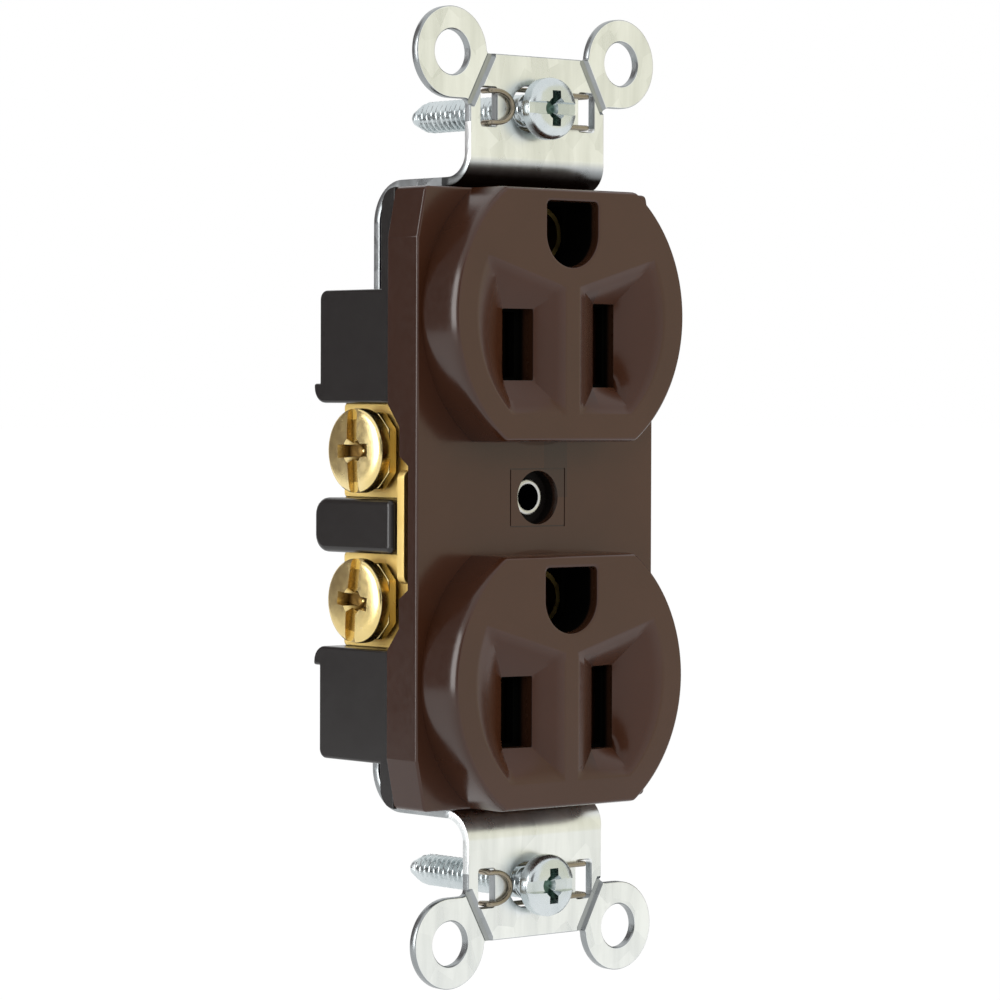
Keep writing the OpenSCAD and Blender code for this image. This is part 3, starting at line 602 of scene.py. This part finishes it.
def makeCover():
    c, t = cover, terminals
    w, h, cw, ch = c["halfWidth"], c["halfHeight"], c["cornerWide"], c["cornerHigh"]
    flange = [(w - cw, -h), (w, ch - h), (w, h - ch), (w - cw, h)]
    flange += [(-u, -v) for u, v in flange]
    levels = edgeLevels(c["front"], c["rear"], c["flangeEdge"], 0.1)
    body = addSlab("faceCover", "Y", flange, [0.6] * 8, levels, 4)
    corner = math.degrees(math.asin(c["discHalf"] / c["discRadius"]))
    rim = [(c["face"] + y, inset) for y, inset in c["rim"]] + [(c["front"] + 0.5, 0)]
    for end in (-1, 1):
        right, left = (arcPoints((0, end * c["discZ"]), c["discRadius"], turn - corner, turn + corner, 56)
                       for turn in (0, 180))
        weld(body, addSlab("disc", "Y", right + left, ([0.8] + [0] * 55 + [0.8]) * 2, rim))
    print("outlet: cover blank made")
    top, tab, rear, shelf = t["reach"], 6.55, c["rear"] + 0.5, 1.85
    steps = [(rear, top), (c["rear"], top), (shelf, top - 2.5), (shelf, tab + 1), (0.4, tab), (0.4, -tab),
             (shelf, -tab - 1), (shelf, 2.5 - top), (c["rear"], -top), (rear, -top)]
    outline = [(y, z + t["middle"]) for y, z in steps][::-1]
    for side in (-1, 1):
        levels = edgeLevels(side * (t["plateIn"] - 0.05), side * 20, 0, 0)
        cut(body, addSlab("sideStep", "X", outline, [0] * len(outline), levels),
            addSideBlock("plateRoom", side, (t["plateIn"] - 0.15, t["plateOut"] + 0.15), (2.65, rear),
                         about(t["middle"], t["reach"] + 0.15)))
    for end in (-1, 1):
        middle = end * c["discZ"]
        slotZ, groundZ = middle + c["slotZ"], middle + c["groundZ"]
        for side, high, leaf in ((1, c["neutralHigh"], t["neutralLeaf"]), (-1, c["hotHigh"], t["hotLeaf"])):
            rings = [[(side * x, y, z + middle) for x, y, z in ring] for ring in funnelRings(high)]
            low, top = about(slotZ, high / 2)
            mouth = mirrored(side, box2d((c["mouthIn"], low), (c["mouthOut"], top)))
            left, right = about(c["slotX"], c["slotWidth"] / 2)
            slit = mirrored(side, box2d((left, low + 0.3), (right, top - 0.3)))
            start, floor, stop = c["mouthInY"] - 0.02, c["mouthFloor"], c["cavity"] + 0.5
            cut(body, addLoft("funnel", rings),
                addSlab("mouth", "Y", mouth, [0.15] * 4, [(start, 0), (floor, 0)], 3),
                addSlab("slot", "Y", slit, [0.15] * 4, [(floor - 0.5, 0), (stop, 0)], 3),
                addSideBlock("leafRoom", side, about(c["slotX"], 1.85), (c["cavity"], rear),
                             about(slotZ, leaf / 2 + 0.5)))
        edge = c["groundEdge"]
        levels = ((c["cavity"] + 0.5, 0), (c["face"] + edge, 0), (c["face"] + edge * 0.35, edge * 0.25),
                  (c["face"], edge), (c["face"] - 0.5, edge + 0.4))
        rings = [[(x, y, z + middle) for x, y, z in groundRing(place, grow)] for place, grow in levels]
        cut(body, addLoft("groundHole", rings),
            addBlock("groundRoom", (-3.15, c["cavity"], groundZ - 3.95), (3.15, rear, groundZ + 3.15)))
    cut(body, addRod("recess", "Y", c["recess"] / 2, c["front"] - 0.5, c["recessRear"], (0, 0), 96),
        addRod("bore", "Y", c["bore"] / 2, c["front"], c["rear"] + 0.5, (0, 0)))
    w, h, line, front = c["insetWidth"] / 2, c["insetHigh"] / 2, c["inset"], c["front"]
    for low, high in (((-w, h - line), (w, h)), ((-w, -h), (w, line - h)),
                      ((-w, -h), (line - w, h)), ((w - line, -h), (w, h))):
        cut(body, addBlock("insetLine", (low[0], front - 0.2, low[1]), (high[0], front + 0.1, high[1])))
    finishPiece(body, "device", "cover_plastic", coverFinish, "face_cover", angle=30)


makeCover()
print("outlet: cover made")

# moulded base
base = {"halfWidth": 16.0, "front": 3.85, "shoulder": 6.1, "halfHeight": 33.0, "shoulderRound": 2.1,
        "blockRear": 16.5, "blockHalf": 25.3, "blockRound": 1.0, "barrierRear": 17.5, "barrierRound": 1.7,
        "lip": 2.1, "dividerHalf": 2.95, "dividerFront": 4.3, "dividerRound": 1.9, "spine": 13.2,
        "spineHalf": 10.2, "spineRound": 3.7, "channel": 10.4, "roomFront": 3.35, "roomRear": 14.4}
ground = {"y": 10.3, "z": 27.1}    # the axis of the grounding screw


def makeBase():
    b, t = base, terminals
    mid, front, rear, wide = t["middle"], b["roomFront"], b["roomRear"], b["halfWidth"]

    def across(name, side, x, low, high, radii, edge):
        levels = edgeLevels(side * x[0], side * x[1], edge[0], edge[1], 4)
        return addSlab(name, "X", box2d(low, high), [radii[0], radii[1], radii[1], radii[0]], levels, 6)

    body = across("rearBase", 1, (-wide, wide), (b["front"], -b["halfHeight"]),
                  (b["shoulder"], b["halfHeight"]), (0, b["shoulderRound"]), (0.12, 0.12))
    for side in (-1, 1):
        cut(body, addSideBlock("recess", side, (t["plateIn"] - 0.05, 20), (b["front"] - 0.5, 20),
                               about(mid, t["reach"] + 0.2)))
    for end in (1, -1):
        # each block has a lip towards the screws
        near, far, step = mid + end * t["reach"], mid + end * b["blockHalf"], b["front"] + 0.4
        outline = [(step, near), (b["barrierRear"], near), (b["barrierRear"], near + end * b["lip"]),
                   (b["blockRear"], near + end * b["lip"]), (b["blockRear"], far), (step, far)]
        radii = [0, b["barrierRound"], 0.25, 0.1, b["blockRound"], 0]
        levels = edgeLevels(-wide, wide, 0.3, 0.3, 4)
        weld(body, addSlab("block", "X", outline[::end], radii[::end], levels, 6))
    weld(body, addSideBlock("core", 1, about(0, t["plateIn"] - 0.05), (b["front"] + 0.3, b["blockRear"]),
                            about(mid, t["reach"] + 1)),
         across("spine", 1, (-b["spineHalf"], b["spineHalf"]), (b["front"] + 0.2, -b["halfHeight"]),
                (b["spine"], b["halfHeight"]), (0, b["spineRound"]), (0.12, 0.12)))
    low, high = about(mid, b["dividerHalf"])
    for side in (-1, 1):
        weld(body, across("divider", side, (t["plateIn"] - 0.5, wide), (b["dividerFront"], low),
                          (b["barrierRear"], high), (0.8, b["dividerRound"]), (0, 0.7)))
    cut(body, addBlock("channel", (-b["channel"], b["spine"], -40), (b["channel"], 20, 40)))
    for end in (1, -1):
        screwZ, slotZ = mid + end * t["pitch"] / 2, end * cover["discZ"] + cover["slotZ"]
        for side, leaf in ((-1, t["hotLeaf"]), (1, t["neutralLeaf"])):
            axis = (t["axisY"], screwZ)
            cut(body, addRod("shankRoom", "X", t["shank"] + 0.5, side * 8.05, side * 13.5, axis),
                addSideBlock("leafRoom", side, (4.5, 8.2), (front, 8.45), about(slotZ, leaf / 2 + 0.5)),
                addSideBlock("webRoom", side, (7.7, 13.65), (front, 8.45), about(slotZ, leaf / 2 + 0.15)),
                addSideBlock("riserRoom", side, (12.15, 13.65), (front, 8.45), (screwZ + end * 4.6, slotZ)))
        z = end * cover["discZ"] + cover["groundZ"]
        cut(body, addBlock("tubeRoom", (-3.15, front, z - 3.95), (3.15, 8.0, z + 3.15)),
            addBlock("webSlot", (-2.65, front, z - 3.95), (2.65, rear, z - 2.85)),
            addBlock("footRoom", (-2.65, 11.2, z - 8.55), (2.65, rear, z - 2.85)))
    axis = (ground["y"], ground["z"])
    cut(body, addSideBlock("tabRoom", 1, (12.3, 20), (6.3, rear), about(ground["z"], 4.4)),
        addRod("groundHeadRoom", "X", 4.1, 13.5, 16.5, axis),
        addRod("groundShankRoom", "X", 2.58, 7.6, 16, axis),
        addRod("postRoom", "Y", 1.8, front, rear, (0, 0)))
    finishPiece(body, "device", "base_plastic", baseFinish, "rear_base", angle=32)


makeBase()
print("outlet: base made")

# mounting strap
strap = {"thick": 1.0, "plateHalf": 9.6, "legHalf": 10.2, "screwZ": 41.67, "plateZ": 47.1, "earZ": 47.2,
         "earX": 12.12, "earRadius": 4.85, "earHole": 2.4, "bend": 2.2, "legZ": 33.2, "corner": 3.7,
         "slotLong": 7.5, "slotHigh": 4.9, "windowX": 7.0, "windowWide": 2.2, "windowHigh": 4.1,
         "plateLow": 37.4, "grooveTop": 6.1, "grooveDrop": 5.5, "grooveWide": 1.1,
         "grooveDeep": 0.34, "edge": 0.13, "rear": 14.4}


def strapEnd(name, end):    # an ear plate, with its holes
    s, thick, wide, c = strap, strap["thick"], strap["plateHalf"], strap["edge"]
    faces = [(-thick, c), (c * 0.4 - thick, c * 0.3), (c - thick, 0), (-c, 0), (-c * 0.4, c * 0.3), (0, c)]
    ear = arcPoints((s["earX"], s["earZ"]), s["earRadius"], -90, 178.5, 60)
    right = [(wide, s["plateLow"]), (wide, s["earZ"] - s["earRadius"])] + ear
    radii = [0, 0.7] + [0] * 60 + [0.35]
    outline = [(u, end * v) for u, v in right + [(-u, v) for u, v in right[::-1]]]
    plate = addSlab(name, "Y", outline[::end], (radii + radii[::-1])[::end], faces, 4)
    opening = [(-thick - 0.5, -0.6), (-thick, -c), (c - thick, 0), (-c, 0), (0, -c), (0.5, -0.6)]
    z = end * s["screwZ"]
    top, drop, high, grooveWide = s["grooveTop"], s["plateZ"] - s["grooveDrop"], s["plateZ"], s["grooveWide"]
    groove = [(top, high + 0.6), (top, high - 0.2), (wide - grooveWide / 2, drop), (wide + 0.6, drop),
              (wide + 0.2, drop + grooveWide * 0.8), (top + grooveWide, high + 0.2),
              (top + grooveWide, high + 0.6)]
    levels = [(-2, -0.1), (-thick, -0.06), (s["grooveDeep"] - thick, 0.3)]
    for side in (-1, 1):
        circle = arcPoints((side * s["earX"], end * s["earZ"]), s["earHole"], 0, 355, 71)
        left, right = about(side * s["windowX"], s["windowWide"] / 2)
        low, high = about(z, s["windowHigh"] / 2)
        scratch = [(side * u, end * v) for u, v in groove[::side * end]]
        cut(plate, addSlab("earHole", "Y", circle, [0] * 72, opening),
            addSlab("window", "Y", box2d((left, low), (right, high)), [0.3] * 4, opening),
            addSlab("groove", "Y", scratch, [0] * 7, levels))
    half, radius = (s["slotLong"] - s["slotHigh"]) / 2, s["slotHigh"] / 2
    slot = arcPoints((half, z), radius, -90, 90, 24) + arcPoints((-half, z), radius, 90, 270, 24)
    return cut(plate, addSlab("screwSlot", "Y", slot, [0] * 50, opening))


def makeStrap():
    s, thick, c = strap, strap["thick"], strap["edge"]
    middle, outer, rear, corner = thick / 2, s["legZ"] + thick, s["rear"], s["corner"] + thick
    bendZ, narrow, wide = outer + s["bend"], s["plateHalf"], s["legHalf"]
    # the middle of the steel, from the upper plate round the base to the lower plate
    upper = [((-middle, s["plateLow"] + 1.5), narrow), ((-middle, bendZ + 0.05), narrow)]
    bend = arcPoints((s["bend"], bendZ), s["bend"] + middle, 180, 270, 10)
    upper += [(point, narrow + (wide - narrow) * k / 10) for k, point in enumerate(bend)]
    bend = arcPoints((rear - corner, outer - corner), corner - middle, 90, 0, 15)
    upper += [(point, wide) for point in bend]
    rings = []
    path = upper + [((y, -z), half) for (y, z), half in upper[::-1]]
    for index, ((y, z), wide) in enumerate(path):
        before, after = path[max(0, index - 1)][0], path[min(len(path) - 1, index + 1)][0]
        run = Vector((after[0] - before[0], after[1] - before[1])).normalized()
        quarter = [(wide, middle - c), (wide - c * 0.3, middle - c * 0.3), (wide - c, middle)]
        upperHalf = quarter + [(-u, v) for u, v in quarter[::-1]]
        section = upperHalf + [(-u, -v) for u, v in upperHalf]
        rings.append([(u, y - run.y * v, z + run.x * v) for u, v in section[-1:] + section[:-1]])
    body = addLoft("mountingStrap", rings)
    weld(body, strapEnd("upperEnd", 1), strapEnd("lowerEnd", -1))
    low, high = about(ground["z"], 4.2)
    tab = box2d((rear - 7.9, low), (rear, high))
    weld(body, addSlab("tab", "X", tab, [0.9, 0.1, 0.1, 0.9], edgeLevels(12.5, 13.5, c, c)),
         addSideBlock("tabBack", 1, (s["legHalf"] - 0.4, 13.2), (rear - thick, rear - 0.01),
                      (low + 0.05, high - 0.05)))
    cut(body, addRod("postHole", "Y", 1.75, 13, 15, (0, 0)),
        addRod("groundHole", "X", 2.13, 12, 14, (ground["y"], ground["z"])))
    for end in (1, -1):
        cut(body, addRod("rivetHole", "Y", 1.2, 13, 15, (0, end * cover["discZ"] + cover["rivetZ"])))
    finishPiece(body, "device", "strap_steel", strapFinish, "mounting_strap", angle=35)


makeStrap()
print("outlet: strap made")

# current strips with their terminal plates
def makeStrip(name, side, leaf, slotName, finish, node):
    t = terminals
    mid = t["middle"]
    body = addSideBlock(name, side, (t["plateIn"] + 0.1, t["plateOut"] - 0.1), (4.85, 8.25), about(mid, 17))
    for end in (1, -1):
        z = mid + end * t["pitch"] / 2
        levels = edgeLevels(side * t["plateIn"], side * t["plateOut"], 0.12, 0.14)
        plate = addSlab("plate", "X", box2d((2.8, z - 5.1), (15.3, z + 5.1)), [0.5] * 4, levels)
        hole = addRod("tapped", "X", t["shank"] + 0.05, side * 12, side * 14, (t["axisY"], z), 48)
        weld(body, cut(plate, hole))
        low, high = about(end * cover["discZ"] + cover["slotZ"], leaf / 2)
        cut(body, addSideBlock("end", side, (12, 14), (0, 20), (end * 60, (high if end > 0 else low))))
        weld(body, addSideBlock("web", side, (4.95, t["plateOut"] - 0.2), (7.6, 8.3), (low, high)),
             addSideBlock("leafIn", side, (5.0, 5.7), (-1.38, 8.0), (low + 0.05, high - 0.05)),
             addSideBlock("leafOut", side, (7.0, 7.7), (-1.38, 8.0), (low + 0.05, high - 0.05)))
    cut(body, addSideBlock("gap", side, (12, 14), (4.1, 20), about(mid, 2.9)))
    tab = mirrored(side, box2d((t["plateIn"] + 0.1, mid - 6.05), (15.5, mid + 6.05)))
    weld(body, addSlab("tab", "Y", tab, [0, 0.9, 0.9, 0], edgeLevels(2.8, 4.0, 0.14, 0.14)))
    finishPiece(body, "device", slotName, finish, node, angle=35)


makeStrip("hotStrip", -1, terminals["hotLeaf"], "brass_contact", brassStripFinish, "hot_contact_strip")
makeStrip("neutralStrip", 1, terminals["neutralLeaf"], "neutral_metal", neutralFinish,
          "neutral_contact_strip")
print("outlet: strips made")

# screws
thread = {"pitch": 0.794, "depth": 0.42, "count": 40, "fine": 10}


def addThread(name, axis, direction, radius, start, length, centre, taper, tipShare):
    # a threaded shank from start along direction, narrowing over its last taper millimetres
    rod = addRod(name, axis, radius, start, start + direction * length, centre, thread["count"])
    choose(rod, editing=True)
    bpy.ops.mesh.select_mode(type="EDGE")
    index = "XYZ".index(axis)
    cuts = round(math.sqrt(length / thread["pitch"] * thread["fine"]))
    for repeat in range(2):
        bpy.ops.mesh.select_all(action="DESELECT")
        for edge in bmesh.from_edit_mesh(rod.data).edges:
            if abs(edge.verts[0].co[index] - edge.verts[1].co[index]) > 1e-6:
                edge.select_set(True)
        bpy.ops.mesh.subdivide(number_cuts=cuts - 1)
    clearSelection()
    for vert in rod.data.vertices:
        p = vert.co
        along = (p[index] - start) * direction
        across = (p.y - centre[0], p.z - centre[1]) if axis == "X" else (p.z - centre[1], p.x - centre[0])
        angle = math.atan2(across[1] * direction, across[0])
        phase = (along / thread["pitch"] - angle / math.tau) % 1
        crest = min(1, 1.25 * (1 - abs(2 * phase - 1)))
        fade = min(1, max(0, along / 0.8)) * min(1, max(0, (length - along) / taper * 1.4))
        narrowing = tipShare + (1 - tipShare) * min(1, (length - along) / taper)
        reach = (radius - thread["depth"]) * narrowing + thread["depth"] * crest * fade
        across = [c * reach / math.hypot(*across) for c in across]
        first, second = across if axis == "X" else across[::-1]
        vert.co = onAxis(axis, p[index], centre[0] + first, centre[1] + second)
    return rod


def addDrive(head, axis, direction, top, centre, drive, slotReach, alongZ):
    # a slot right across, with a cross recess at its middle; the cross arm runs the other way
    wide, deep = drive["wide"], drive["slotDeep"]

    def arm(halfLong, depth, narrow, alongZ):
        rings = []
        for out, share in ((0.6, narrow * 1.4), (0, narrow * 1.2), (-depth, narrow)):
            corners = box2d((-halfLong * share, -wide / 2 * share), (halfLong * share, wide / 2 * share))
            rings.append([onAxis(axis, top + direction * out, centre[0] + (v if alongZ else u),
                                 centre[1] + (u if alongZ else v)) for u, v in corners[2:] + corners[:2]])
        return addLoft("drive", rings)

    pit = [(-deep * 2.1, 0), (-deep * 1.7, wide * 0.5), (0.05, wide * 1.05), (0.6, wide * 1.1), (0.6, 0)]
    cut(head, arm(slotReach, deep, 0.92, alongZ), arm(drive["wing"], deep * 1.7, 0.8, not alongZ),
        addTurned("pit", axis, direction, top, centre, pit, 24))


terminalHead = [(0, 0), (0, 4.42), (0.12, 4.55), (1.12, 4.55), (1.34, 4.46), (1.48, 4.25), (1.56, 3.9),
                (1.64, 3.1), (1.7, 2.1), (1.74, 1.1), (1.75, 0)]
terminalScrew = {"wide": 1.5, "slotDeep": 0.85, "wing": 2.6, "length": 6.4, "clampHalf": 4.1,
                 "clampFlat": 2.3}
groundHead = [(0, 0), (0, 3.8), (0.1, 3.9), (1.2, 3.9), (1.45, 3.78), (1.62, 3.4), (1.72, 2.4), (1.78, 1.2),
              (1.8, 0)]
groundScrew = {"wide": 1.3, "slotDeep": 0.8, "wing": 2.1, "length": 6.0, "start": 14.1}
boxHead = [(0, 0), (0, 3.2), (0.1, 3.325), (1.1, 3.325), (1.45, 3.2), (1.75, 2.8), (1.92, 2.0), (1.98, 1.0),
           (2.0, 0)]
boxScrew = {"wide": 1.25, "slotDeep": 0.8, "wing": 2.0, "headY": -2.05, "tip": 19.1, "radius": 1.75,
            "taper": 2.6, "tipShare": 0.62}


def makeSideScrew(name, side, start, centre, profile, drive, tilt):
    # the screw's head stands out to the side, its shank runs in towards the middle
    head = addTurned(name, "X", side, side * start, centre, profile, 72)
    addDrive(head, "X", side, side * (start + profile[-1][0]), centre, drive, 6, True)
    start, length = side * (start + 0.02), drive["length"]
    joinTo(head, addThread("shank", "X", -side, terminals["shank"], start, length, centre, 0.7, 0.75))
    choose(head, editing=True)
    bpy.ops.transform.rotate(value=math.radians(tilt), orient_axis="X", center_override=(0, *centre))
    clearSelection()
    return head


for word, end in upDown.items():
    t = terminals
    centre = (t["axisY"], t["middle"] + end * t["pitch"] / 2)
    kinds = (("hot", -1, "brass_screw", brassScrewFinish, {"upper": 2, "lower": -7}),
             ("neutral", 1, "nickel_screw", nickelFinish, {"upper": 14, "lower": -25}))
    for wire, side, slotName, finish, tilts in kinds:
        screw = makeSideScrew(f"{wire}Screw.{word}", side, t["headOut"], centre, terminalHead, terminalScrew,
                              tilts[word])
        finishPiece(screw, f"{wire}_{word}_screw", slotName, finish, f"{wire}_screw_{word}")
        h, c = terminalScrew["clampHalf"], terminalScrew["clampFlat"]
        outline = [(h, c), (c, h), (-c, h), (-h, c), (-h, -c), (-c, -h), (c, -h), (h, -c)]
        outline = [(y + centre[0], z + centre[1]) for y, z in outline]
        left, right = side * t["clampOut"], side * t["headOut"]
        levels = edgeLevels(left, right, 0.12, 0.2)
        clamp = addSlab(f"{wire}Clamp.{word}", "X", outline, [0.5] * 8, levels, 3)
        cut(clamp, addRod("clampHole", "X", t["shank"] + 0.05, left - side, right + side, centre, 48))
        finishPiece(clamp, f"{wire}_{word}_clamp", slotName, finish, f"{wire}_clamp_{word}")
print("outlet: terminal screws made")

screw = makeSideScrew("groundScrew", 1, groundScrew["start"], (ground["y"], ground["z"]), groundHead,
                      groundScrew, 10)
finishPiece(screw, "grounding_screw", "green_screw", greenFinish, "ground_screw")

for word, end in (("top", 1), ("bottom", -1)):
    centre, headY = (0, end * strap["screwZ"]), boxScrew["headY"]
    screw = addTurned(f"boxScrew.{word}", "Y", -1, headY, centre, boxHead, 72)
    addDrive(screw, "Y", -1, headY - boxHead[-1][0], centre, boxScrew, 5, False)
    joinTo(screw, addThread("shank", "Y", 1, boxScrew["radius"], headY - 0.02, boxScrew["tip"] - headY + 0.02,
                            centre, boxScrew["taper"], boxScrew["tipShare"]))
    finishPiece(screw, f"{word}_box_screw", "zinc_screw", zincFinish, f"box_screw_{word}")
print("outlet: screws made")

# centre post, rivets and clips
postEdge = [(0.45, 1.42), (0.36, 1.58), (0.35, 1.75), (0.42, 1.92), (0.6, 1.97), (0.78, 1.9), (0.84, 1.75),
            (14.4, 1.75), (14.4, 3.0), (14.5, 3.1), (14.8, 3.05), (15.05, 2.6), (15.1, 2.0), (15.0, 1.5),
            (14.8, 1.4), (0.8, 1.4)]
rivetEdge = [(11.8, 0), (11.8, 2.1), (12.0, 2.2), (12.6, 2.2), (12.6, 1.2), (14.4, 1.2), (14.4, 2.15),
             (14.55, 2.2), (14.85, 2.05), (15.05, 1.6), (15.16, 0.9), (15.2, 0)]
post = addTurned("centerPost", "Y", 1, 0, (0, 0), postEdge, 72)
finishPiece(post, "device", "rivet_steel", rivetFinish, "center_post")

rivets = [addTurned("rivets", "Y", 1, 0, (0, end * cover["discZ"] + cover["rivetZ"]), rivetEdge, 48)
          for end in (1, -1)]
finishPiece(joinTo(*rivets), "device", "rivet_steel", rivetFinish, "ground_rivets")

clip = {"wire": 0.28, "windowZ": 1.69, "screwZ": 2.11, "front": -1.34, "back": 0.34, "loopX": -6.2,
        "loopWide": 2.3, "end": 2.8, "backX": 2.5}


def roundedPath(points, radius, steps=5):
    path = [Vector(points[0])]
    for before, corner, after in zip(points, points[1:], points[2:]):
        before, corner, after = Vector(before), Vector(corner), Vector(after)
        reach = min(radius, (before - corner).length * 0.48, (after - corner).length * 0.48)
        start = corner + (before - corner).normalized() * reach
        stop = corner + (after - corner).normalized() * reach
        for k in range(steps + 1):
            s = k / steps
            path.append(start * (1 - s) ** 2 + corner * 2 * s * (1 - s) + stop * s ** 2)
    return path + [Vector(points[-1])]


def makeClip(name, z):
    c, x = clip, strap["windowX"]

    def leg(side):
        places = ((x - c["end"], c["front"]), (x, c["front"]), (x, c["back"]), (c["backX"], c["back"]),
                  (-c["backX"], c["back"]), (-x, c["back"]), (-x, c["front"]))
        return [(u, y, side * c["screwZ" if abs(u) == c["backX"] else "windowZ"]) for u, y in places]

    loop = [(c["loopX"] + c["loopWide"] * u, c["front"], c["windowZ"] * v)
            for u, v in arcPoints((0, 0), 1, 90, -90, 12)]
    path = roundedPath(leg(1) + loop + leg(-1)[::-1], 0.55)
    clearSelection()
    bpy.ops.curve.primitive_nurbs_path_add()
    wire = bpy.context.object
    wire.data.splines.clear()
    run = wire.data.splines.new("POLY")
    run.points.add(len(path) - 1)
    for point, place in zip(run.points, path):
        point.co = (place.x, place.y, place.z + z, 1)
    wire.data.bevel_depth, wire.data.bevel_resolution, wire.data.use_fill_caps = c["wire"], 3, True
    choose(wire)
    bpy.ops.object.convert(target="MESH")
    return nameIt(name)


for word, end in (("top", 1), ("bottom", -1)):
    wire = makeClip(f"screwClip.{word}", end * strap["screwZ"])
    finishPiece(wire, "device", "clip_wire", wireFinish, f"screw_clip_{word}", angle=60)
# the ground contacts take the darkened brass, painted shade inside the ground holes
for word in upDown:
    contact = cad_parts[f"ground_contact_{word}"]
    contact.data.materials.clear()
    contact.data.materials.append(shadedGroundFinish)
print("outlet: small parts made")

# studio
studio = {"world": 0.5, "key": 0.9, "front": 0.5, "top": 0.6, "floorZ": -0.12, "floorShare": 0.95,
          "glow": 1.04}


def seenBy(tree, *kinds):
    # 1 for the kinds of ray that are named and 0 for others
    rays = tree.nodes.new("ShaderNodeLightPath")
    return largest(tree, *(rays.outputs[f"Is {kind} Ray"] for kind in kinds))


def addLight(tree, kind, strength):
    light = tree.nodes.new("ShaderNode" + kind)
    light.inputs["Color"].default_value = (1, 1, 1, 1)
    light.inputs["Strength"].default_value = strength
    return light.outputs[0]


def blendInto(tree, share, first, second, target):
    blend = tree.nodes.new("ShaderNodeMixShader")
    for socket, value in zip(blend.inputs, (share, first, second)):
        tree.links.new(value, socket)
    tree.links.new(blend.outputs[0], target)


world = bpy.data.worlds.new("studio")
bpy.context.scene.world = world
world.use_nodes = True
tree = world.node_tree
tree.nodes.clear()
out = tree.nodes.new("ShaderNodeOutputWorld")
share = seenBy(tree, "Camera", "Glossy", "Transmission")
blendInto(tree, share, addLight(tree, "Background", studio["world"]), addLight(tree, "Background", 1),
          out.inputs["Surface"])


def faceMiddle(place, towards):
    return (Vector((0, 0, 0)) - Vector(place)).to_track_quat(towards, "Y").to_euler()


def addLamp(name, place, power, wide, high):
    clearSelection()
    bpy.ops.object.light_add(type="AREA", location=place, rotation=faceMiddle(place, "-Z"))
    lamp = bpy.context.object
    lamp.name = name
    lamp.data.shape, lamp.data.size, lamp.data.size_y, lamp.data.energy = "RECTANGLE", wide, high, power
    lamp.visible_glossy = False


addLamp("key", (0.25, -0.75, 0.35), studio["key"], 0.3, 0.3)
addLamp("front", (-0.3, -0.55, 0.35), studio["front"], 0.12, 0.35)
addLamp("overhead", (0.0, -0.1, 0.7), studio["top"], 0.5, 0.5)


def addCard(name, place, wide, high, colour, strength, lights=False):
    # a board outside the picture, which only the surfaces of the outlet see
    clearSelection()
    bpy.ops.mesh.primitive_plane_add(size=1, location=place, rotation=faceMiddle(place, "Z"))
    card = bpy.context.object
    card.name = name
    card.scale = (wide, high, 1)
    paper, _, shader = startFinish(name, roughness=1.0)
    shader.inputs["Base Color"].default_value = (0, 0, 0, 1)
    shader.inputs["Emission Color"].default_value = (*colour, 1)
    shader.inputs["Emission Strength"].default_value = strength
    card.data.materials.append(paper)
    card.visible_camera = False
    card.visible_diffuse = lights
    card.visible_shadow = False


addCard("rightCard", (0.62, -0.66, 0.0), 1.0, 1.1, (1.0, 0.97, 0.8), 0.9, True)
addCard("leftBackCard", (-0.4, 0.9, 0.0), 0.95, 2.0, (1.0, 0.88, 0.88), 0.2, True)
addCard("softBox", (-0.937, 0.35, 0.06), 0.52, 0.9, (1.0, 1.0, 1.0), 5.5)
addCard("rightBackCard", (0.95, 0.3, 0.0), 1.2, 1.2, (1.0, 0.95, 0.95), 0.12, True)
addCard("cameraCard", (-0.6, -0.8, 0.0), 0.55, 1.1, (1.0, 1.0, 1.0), 0.06)

clearSelection()
bpy.ops.mesh.primitive_plane_add(size=30, location=(0, 0, studio["floorZ"]))
floor = bpy.context.object
floor.name = "floor"
floorFinish, tree, shader = startFinish("floorPaper", roughness=0.9)
shader.inputs["Base Color"].default_value = (0.9, 0.9, 0.9, 1)
share = times(tree, seenBy(tree, "Camera", "Glossy"), studio["floorShare"])
blendInto(tree, share, shader.outputs[0], addLight(tree, "Emission", studio["glow"]),
          tree.nodes["Material Output"].inputs["Surface"])
floor.data.materials.append(floorFinish)

view = {"yaw": 0.719592, "pitch": 0.023866, "roll": 0.003104, "lens": 149.2,
        "place": (-296.97, -333.83, 10.36)}
turn = Matrix.Identity(3)
for name, axis in (("roll", "Y"), ("pitch", "X"), ("yaw", "Z")):
    turn = turn @ Matrix.Rotation(view[name], 3, axis)
bpy.ops.object.camera_add()
camera = bpy.context.object
camera.name = "camera"
camera.data.lens, camera.data.sensor_width, camera.data.clip_start = view["lens"], 36, 0.01
facing = Matrix((turn[0], turn[2], -turn[1])).transposed().to_4x4()
camera.matrix_world = Matrix.Translation(Vector(view["place"]) * mm) @ facing
bpy.context.scene.camera = camera
bpy.context.scene.view_settings.view_transform = "Standard"
print("outlet: studio set")
